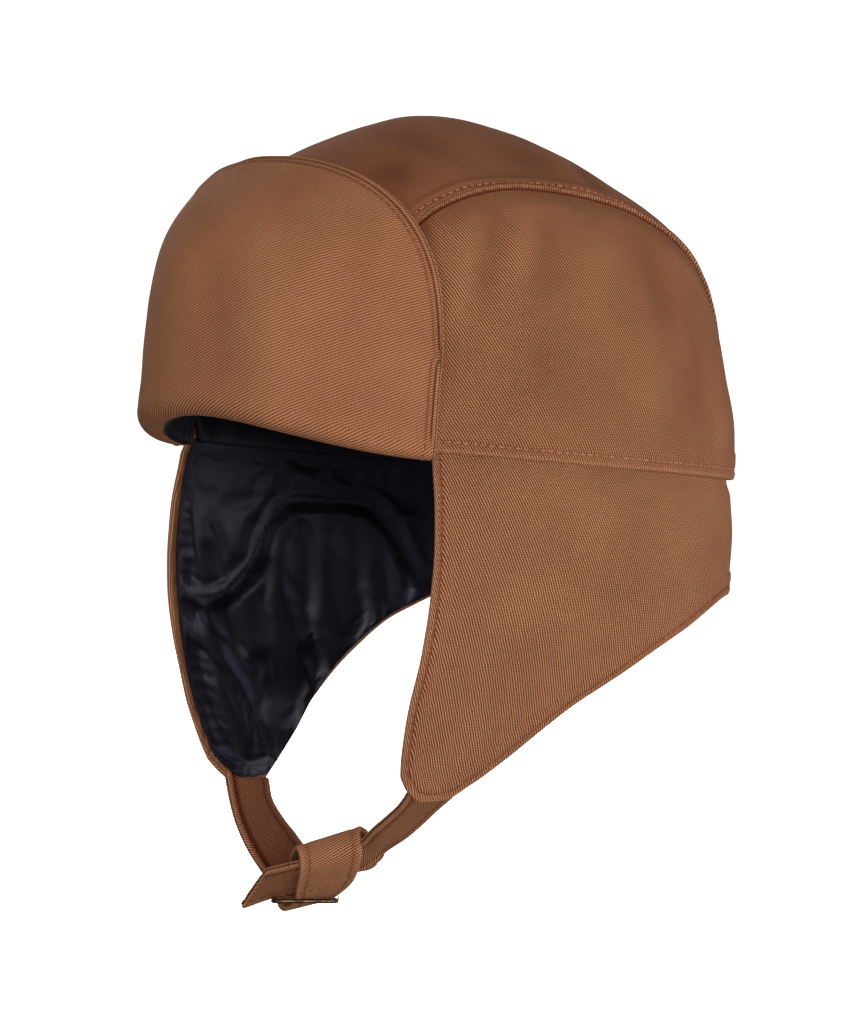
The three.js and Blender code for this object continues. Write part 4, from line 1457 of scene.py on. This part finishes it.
# The far strap's inner face lies in shadow, which is painted into its colour; the near strap gets a little
# painted shade too.
make_strap("strap_left", NEAR_EDGES, square_end, 170, rib_turn=62, shade=-0.06)
make_strap("strap_right", FAR_EDGES, round_end, 190, rib_turn=56, shade=-0.66)

# %% [markdown]
# ## The loop and the buckle
# The loop is a band of twill round both straps, gathered at its lower end where it passes through
# the bronze buckle. The buckle is a flat wire frame, so it is swept round a rectangle with rounded
# corners instead of being cut from a plate.

# %% Make the loop
LOOP_REACH = 13.8
LOOP_DEPTH = 7.2
LOOP_CLOTH = 1.6
LOOP_WIDTH = 20
LOOP_NARROW = 12
LOOP_FLARE = 0.16
LOOP_SQUARENESS = 0.7
LOOP_TAPER_END = 0.2
LOOP_SKEW = 0.38
LOOP_SWERVE = 6.4
LOOP_BACK_SHIFT = 7
LOOP_RIBS = 107
# The whole loop is painted lighter.
LOOP_PAINTED_LIGHT = 0.16
LOOP_MIDDLE = np.array([-3.2, -52.2, -142.5])


def loop_surface(inset, u, v):
    turn = -2 * math.pi * u

    def bulge(value):
        return np.sign(value) * np.abs(value) ** LOOP_SQUARENESS

    opening = 1 + LOOP_FLARE * (v - 0.5) * np.maximum(0, np.sin(turn))
    high = bulge(np.sin(turn)) * (LOOP_REACH - inset) * opening
    deep = bulge(np.cos(turn)) * (LOOP_DEPTH - inset) * opening
    width = mix(LOOP_NARROW, LOOP_WIDTH, ease((high / LOOP_REACH + 1) / (1 + LOOP_TAPER_END)))
    swerve = LOOP_SWERVE * np.maximum(0, -high / LOOP_REACH) ** 2
    behind = LOOP_BACK_SHIFT * v * ease(-deep / LOOP_DEPTH) * ease(0.5 + high / LOOP_REACH)
    behind = behind * (1 - 0.7 * ease((high / LOOP_REACH - 0.25) / 0.75))
    along = (v - 0.5) * width + LOOP_SKEW * high - swerve + behind
    return LOOP_MIDDLE + CROSSWISE * high[..., None] + FACE * deep[..., None] + RUN * along[..., None]


def make_loop():
    u, v = np.meshgrid(np.linspace(0, 1, 181), crowded(12, 1 / 34, 1 / 34), indexing="ij")
    edge = np.minimum(v, 1 - v) * LOOP_WIDTH
    relief = 0.2 - 0.3 * hump(edge, STRAP_INSET, 0.6)
    face = loop_surface(-relief, u, v)
    back = loop_surface(LOOP_CLOTH, u, v)
    steps = np.linalg.norm(np.diff(face, axis=0), axis=-1)
    round_it = np.concatenate([np.zeros((1, v.shape[1])), np.cumsum(steps, axis=0)])
    flat = np.stack([(v - 0.5) * LOOP_WIDTH, round_it.mean(axis=1, keepdims=True) + 0 * v], -1) * MM
    flat = turn_flat(flat, math.radians(LOOP_RIBS))
    tone = hem_wear_and_painted_light(edge, STRAP_INSET) + LOOP_PAINTED_LIGHT
    piece = make_shell("strap_loop_cloth", face, back, flat, EAR_TWILL, ring=True, tipped=False, tone=tone)
    hand_over(piece, "strap_loop")
    return face, v * LOOP_WIDTH


loop_face, loop_across = make_loop()

# %% Make the buckle
BUCKLE_LENGTH = 23.4
BUCKLE_BREADTH = 19.4
BUCKLE_BAR = 2
BUCKLE_THICKNESS = 1.5
BUCKLE_CORNER = 2.5
BUCKLE_SQUARENESS = 0.6
BUCKLE_ROUND = 14
BUCKLE_ALONG = -5.8
BUCKLE_ASIDE = -5.6
BUCKLE_BELOW = -11.3


def make_buckle():
    centre = LOOP_MIDDLE + LEVEL * BUCKLE_ALONG + SIDEWAYS * BUCKLE_ASIDE + UP * BUCKLE_BELOW
    centre = centre + UP * BUCKLE_THICKNESS / 2
    half_x = (BUCKLE_LENGTH - BUCKLE_BAR) / 2
    half_y = (BUCKLE_BREADTH - BUCKLE_BAR) / 2
    corner = BUCKLE_CORNER - BUCKLE_BAR / 2
    path = []
    for quarter, (sx, sy) in enumerate([(1, 1), (-1, 1), (-1, -1), (1, -1)]):
        for angle in np.linspace(0, math.pi / 2, 9) + quarter * math.pi / 2:
            outward = np.array([math.cos(angle), math.sin(angle)])
            middle = np.array([sx * (half_x - corner), sy * (half_y - corner)])
            path.append((middle + outward * corner, outward))
    n = BUCKLE_ROUND
    vertices = []
    for middle, outward in path:
        for turn in np.linspace(0, 2 * math.pi, n, endpoint=False):
            c, s = math.cos(turn), math.sin(turn)
            out = np.sign(c) * abs(c) ** BUCKLE_SQUARENESS * BUCKLE_BAR / 2
            up = np.sign(s) * abs(s) ** BUCKLE_SQUARENESS * BUCKLE_THICKNESS / 2
            x, y = middle + outward * out
            vertices.append(centre + LEVEL * x - SIDEWAYS * y + UP * up)
    quads = []
    for i in range(len(path)):
        for j in range(n):
            k, m = (i + 1) % len(path), (j + 1) % n
            quads.append([i * n + j, k * n + j, k * n + m, i * n + m])
    placed = place(np.array(vertices), False)
    no_map = np.zeros((len(vertices), 2))
    no_tone = np.zeros(len(vertices))
    piece = make_mesh("strap_buckle_frame", placed, np.array(quads), no_map, BRONZE, no_tone)
    return hand_over(piece, "strap_buckle")


make_buckle()

# %% [markdown]
# ## The stitching
# A sewn line is the same short stitch again and again, which is what Geometry Nodes are good at.
# The tree takes a line of points, spaces stitches along it and turns each one to follow the line
# and to lie on the cloth. It reads the cloth's own direction from an attribute named lift. The
# lines themselves are found on each piece's grid, at a set distance from its edge.

# %% Build the stitch tree
STITCH_INPUTS = [
    ("Line", "NodeSocketGeometry"),
    ("Spacing", "NodeSocketFloat"),
    ("Stitch length", "NodeSocketFloat"),
    ("Thread", "NodeSocketFloat"),
    ("Finish", "NodeSocketMaterial"),
]
STRAY = 0.10
STRAY_SEED = 7


def make_stitch_tree():
    tree = bpy.data.node_groups.new("running_stitch", "GeometryNodeTree")
    for name, kind in STITCH_INPUTS:
        tree.interface.new_socket(name, in_out="INPUT", socket_type=kind)
    tree.interface.new_socket("Stitches", in_out="OUTPUT", socket_type="NodeSocketGeometry")
    board = Board(tree)
    given = (board.node("NodeGroupInput", None, None, n) for n in range(len(STITCH_INPUTS)))
    line, spacing, length, thread, finish = given
    curve = board.node("GeometryNodeMeshToCurve", None, {0: line})
    sockets = {"Curve": curve, "Length": spacing}
    even = board.node("GeometryNodeResampleCurve", {"mode": "LENGTH"}, sockets)
    along = board.node("GeometryNodeInputTangent")
    settings = {"data_type": "FLOAT_VECTOR"}
    lift = board.node("GeometryNodeInputNamedAttribute", settings, {"Name": "lift"})
    turn = board.node("FunctionNodeAlignRotationToVector", {"axis": "X"}, {"Vector": along})
    settings = {"axis": "Z", "pivot_axis": "X"}
    sockets = {"Rotation": turn, "Vector": lift}
    turn = board.node("FunctionNodeAlignRotationToVector", settings, sockets)
    sockets = {2: -STRAY, 3: STRAY, "Seed": STRAY_SEED}
    stray = board.node("FunctionNodeRandomValue", {"data_type": "FLOAT"}, sockets, 1)
    sockets = {"Axis": (0, 0, 1), "Angle": stray}
    swing = board.node("FunctionNodeAxisAngleToRotation", None, sockets)
    settings = {"rotation_space": "LOCAL"}
    sockets = {"Rotation": turn, "Rotate By": swing}
    turn = board.node("FunctionNodeRotateRotation", settings, sockets)
    bead = board.node("GeometryNodeMeshUVSphere", None, {"Segments": 7, "Rings": 5, "Radius": 0.5})
    size = board.node("ShaderNodeCombineXYZ", None, {"X": length, "Y": thread, "Z": thread})
    stitch = board.node("GeometryNodeTransform", None, {"Geometry": bead, "Scale": size})
    sockets = {"Points": even, "Instance": stitch, "Rotation": turn}
    row = board.node("GeometryNodeInstanceOnPoints", None, sockets)
    joined = board.node("GeometryNodeRealizeInstances", None, {0: row})
    smooth = board.node("GeometryNodeSetShadeSmooth", None, {0: joined})
    done = board.node("GeometryNodeSetMaterial", None, {"Geometry": smooth, "Material": finish})
    board.node("NodeGroupOutput", None, {0: done})
    return tree


STITCH_TREE = make_stitch_tree()

# %% Find sewn lines on a grid and sew them
CORNER_REACH = 2.2
ABOVE_CLOTH = 0.06


def sewn_line(grid, away, inset, sides):
    """Points and directions at a distance from the edge, in metres, in order round the sides."""
    square = square_to(grid)
    found = []
    for side in sides:
        runs = {
            "low": (grid, square, away),
            "high": tuple(g[::-1, ::-1] for g in (grid, square, away)),
            "first": tuple(np.swapaxes(g, 0, 1)[::-1] for g in (grid, square, away)),
            "last": tuple(np.swapaxes(g, 0, 1)[:, ::-1] for g in (grid, square, away)),
        }
        place_of, square_of, away_of = runs[side]
        for points_in, squares_in, far in zip(place_of, square_of, away_of):
            beyond = np.nonzero(far >= inset)[0]
            if not len(beyond) or beyond[0] == 0:
                continue
            j = beyond[0]
            t = (inset - far[j - 1]) / (far[j] - far[j - 1])
            at = mix(points_in[j - 1], points_in[j], t)
            if np.linalg.norm(at - points_in[0]) < CORNER_REACH * inset:
                found.append((at, mix(squares_in[j - 1], squares_in[j], t)))
    return np.array([f[0] for f in found]), np.array([f[1] for f in found])


def sew(name, lines, tipped=True, finish=THREAD, spacing=3.2, length=2.5, thread=0.62):
    """Stitches along lines of (points, directions); they ride on the hat."""
    vertices, lifts, edges = [], [], []
    for line, lift in lines:
        start = len(vertices)
        vertices += place(line + unit(lift) * ABOVE_CLOTH, tipped).tolist()
        turned = lift @ np.array(TIP.to_3x3()).T if tipped else lift
        lifts += turned.tolist()
        edges += [(start + n, start + n + 1) for n in range(len(line) - 1)]
    mesh = bpy.data.meshes.new(name)
    mesh.from_pydata(vertices, edges, [])
    attribute = mesh.attributes.new("lift", "FLOAT_VECTOR", "POINT")
    attribute.data.foreach_set("vector", np.array(lifts, np.float32).ravel())
    line_object = add_object(name + "_line", mesh)
    modifier = line_object.modifiers.new("stitches", "NODES")
    modifier.node_group = STITCH_TREE
    given = {"Spacing": spacing * MM, "Stitch length": length * MM, "Thread": thread * MM}
    given["Finish"] = finish
    for socket in STITCH_TREE.interface.items_tree:
        if socket.name in given:
            modifier[socket.identifier] = given[socket.name]
    evaluated = line_object.evaluated_get(bpy.context.evaluated_depsgraph_get())
    plain = bpy.data.meshes.new_from_object(evaluated)
    plain.name = name
    bpy.data.objects.remove(line_object)
    piece = add_object(name, plain)
    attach(piece, "root")
    print(name, len(plain.polygons), "faces")
    return piece


STITCH_LINES = {"crown_stitches": [], "flap_stitches": [], "ear_stitches": []}
for side in ("low", "high"):
    away = distance_to_lines(strip_flat, edge_lines(strip_flat, [side]))
    STITCH_LINES["crown_stitches"].append(sewn_line(strip_face, away, STRIP_INSET, [side]))
for side, (face, flat) in panel_faces.items():
    away = distance_to_lines(flat, edge_lines(flat, ["low"]))
    STITCH_LINES["crown_stitches"].append(sewn_line(face, away, STITCH_INSET, ["low"]))
away = distance_to_lines(flap_flat, edge_lines(flap_flat, ["high", "first", "last"]))
STITCH_LINES["flap_stitches"].append(sewn_line(flap_face, away, FLAP_INSET, ["last", "high", "first"]))
away = distance_to_lines(ear_flat, edge_lines(ear_flat, ["low", "first", "last"]))
STITCH_LINES["ear_stitches"].append(sewn_line(ear_face, away, EAR_INSET, ["first", "low", "last"]))
for name, lines in STITCH_LINES.items():
    # The crown's stitches take the copy of the thread that is painted lighter.
    sew(name, lines, finish=LIT_THREAD if name == "crown_stitches" else THREAD)
loop_lines = [
    sewn_line(loop_face, loop_across, STRAP_INSET, ["low"]),
    sewn_line(loop_face, LOOP_WIDTH - loop_across, STRAP_INSET, ["high"]),
]
sew("loop_stitches", loop_lines, tipped=False, spacing=2.8, length=2.0, thread=0.5)
quilting = []
inside_way = -square_to(flap_lining_face)
for side in (1, -1):
    for rows in ARCS:
        u, v = on_lining(rows, side)
        quilting.append((read_grid(flap_lining_face, u, v), read_grid(inside_way, u, v)))
sew("quilt_stitches", quilting, finish=BLACK_THREAD, spacing=2.6, length=1.7, thread=0.4)

# %% [markdown]
# ## Studio
# A pale sweep stands behind and below the hat: a wide floor that curves up into a wall, so no edge
# shows. It is seen, but throws no light back on the cloth. A weak light comes from all round at the
# hat's own height and hardly from above, as between tall grey screens, and a ramp on the sky's
# height draws those screens. Most light comes from five large soft panels: the key beside the
# camera, one at the side, one high in front, and two behind that catch the lining's folds and the
# far side. Each is placed by how far round the hat and how high it stands.

# %% Light the scene
SKY_GREYS = [(0.0, 0.16), (0.46, 0.26), (0.56, 0.26), (0.70, 0.05)]
PANEL_DISTANCE = 2.4
PANELS = [
    ("key", 58, 0, 1.7, 41),
    ("side", 104, 0, 1.5, 11),
    ("front", 6, 50, 1.3, 16),
    ("rear", 156, -8, 1.3, 25),
    ("far", -116, 18, 1.6, 34),
]


def add_panel(name, azimuth, elevation, size, power):
    data = bpy.data.lights.new(name, "AREA")
    data.shape = "SQUARE"
    data.size = size
    data.energy = power
    lamp = add_object(name, data)
    a, e = math.radians(azimuth), math.radians(elevation)
    way = Vector((math.sin(a) * math.cos(e), -math.cos(a) * math.cos(e), math.sin(e)))
    lamp.location = RIM_CENTRE * MM + way * PANEL_DISTANCE
    lamp.rotation_mode = "QUATERNION"
    lamp.rotation_quaternion = way.to_track_quat("Z", "Y")


def make_sky():
    world = bpy.data.worlds.new("studio")
    bpy.context.scene.world = world
    world.use_nodes = True
    world.node_tree.nodes.clear()
    board = Board(world.node_tree)
    way = board.node("ShaderNodeTexCoord", None, None, 0)
    height = board.node("ShaderNodeSeparateXYZ", None, {0: way}, 2) * 0.5 + 0.5
    stops = [(place_at, (grey, grey, grey)) for place_at, grey in SKY_GREYS]
    colour = board.node("ShaderNodeValToRGB", {"stops": stops}, {0: height})
    sky = board.node("ShaderNodeBackground", None, {"Color": colour, "Strength": 1.0})
    board.node("ShaderNodeOutputWorld", None, {"Surface": sky})


for row in PANELS:
    add_panel(*row)
make_sky()
bpy.context.scene.view_settings.view_transform = "Standard"

# %% Lay the floor
FLOOR_BELOW = 0.08
SWEEP_REACH = 9
SWEEP_CURVE = 3
SWEEP_HEIGHT = 14
SWEEP_SIDES = 64


def make_sweep():
    """A round floor with a curved wall, turned about the upright axis."""
    level = CAD_BOX[0].z - FLOOR_BELOW
    profile = [(r, 0) for r in np.linspace(0.01, SWEEP_REACH, 8)]
    turns = np.linspace(0, math.pi / 2, 9)[1:]
    for t in turns:
        profile.append((SWEEP_REACH + SWEEP_CURVE * math.sin(t), SWEEP_CURVE * (1 - math.cos(t))))
    profile.append((SWEEP_REACH + SWEEP_CURVE, SWEEP_HEIGHT))
    around = np.linspace(0, 2 * math.pi, SWEEP_SIDES, endpoint=False)
    vertices = [(r * math.cos(t), r * math.sin(t), level + h) for t in around for r, h in profile]
    n = len(profile)
    faces = []
    for i in range(SWEEP_SIDES):
        for j in range(n - 1):
            k = (i + 1) % SWEEP_SIDES
            faces.append((i * n + j, k * n + j, k * n + j + 1, i * n + j + 1))
    faces.append([i * n for i in range(SWEEP_SIDES - 1, -1, -1)])
    mesh = bpy.data.meshes.new("sweep")
    mesh.from_pydata(vertices, [], faces)
    sweep = add_object("sweep", mesh)
    pale = {"Base Color": (0.9, 0.9, 0.9, 1), "Roughness": 1.0}
    pale.update({"Emission Color": (1, 1, 1, 1), "Emission Strength": 1.2})
    mesh.materials.append(new_finish("pale_sweep", pale)[0])
    sweep.visible_diffuse = False
    sweep.visible_glossy = False
    sweep.visible_shadow = False


make_sweep()

# %% [markdown]
# ## The cut sizes
# Each sheet's size when laid out flat, and its area, are printed.

# %% Print each sheet's cut size and area
for name, (piece, (area, size)) in SHEETS.items():
    print(name, "cut", size.round(3), "m, area", round(float(area), 4))
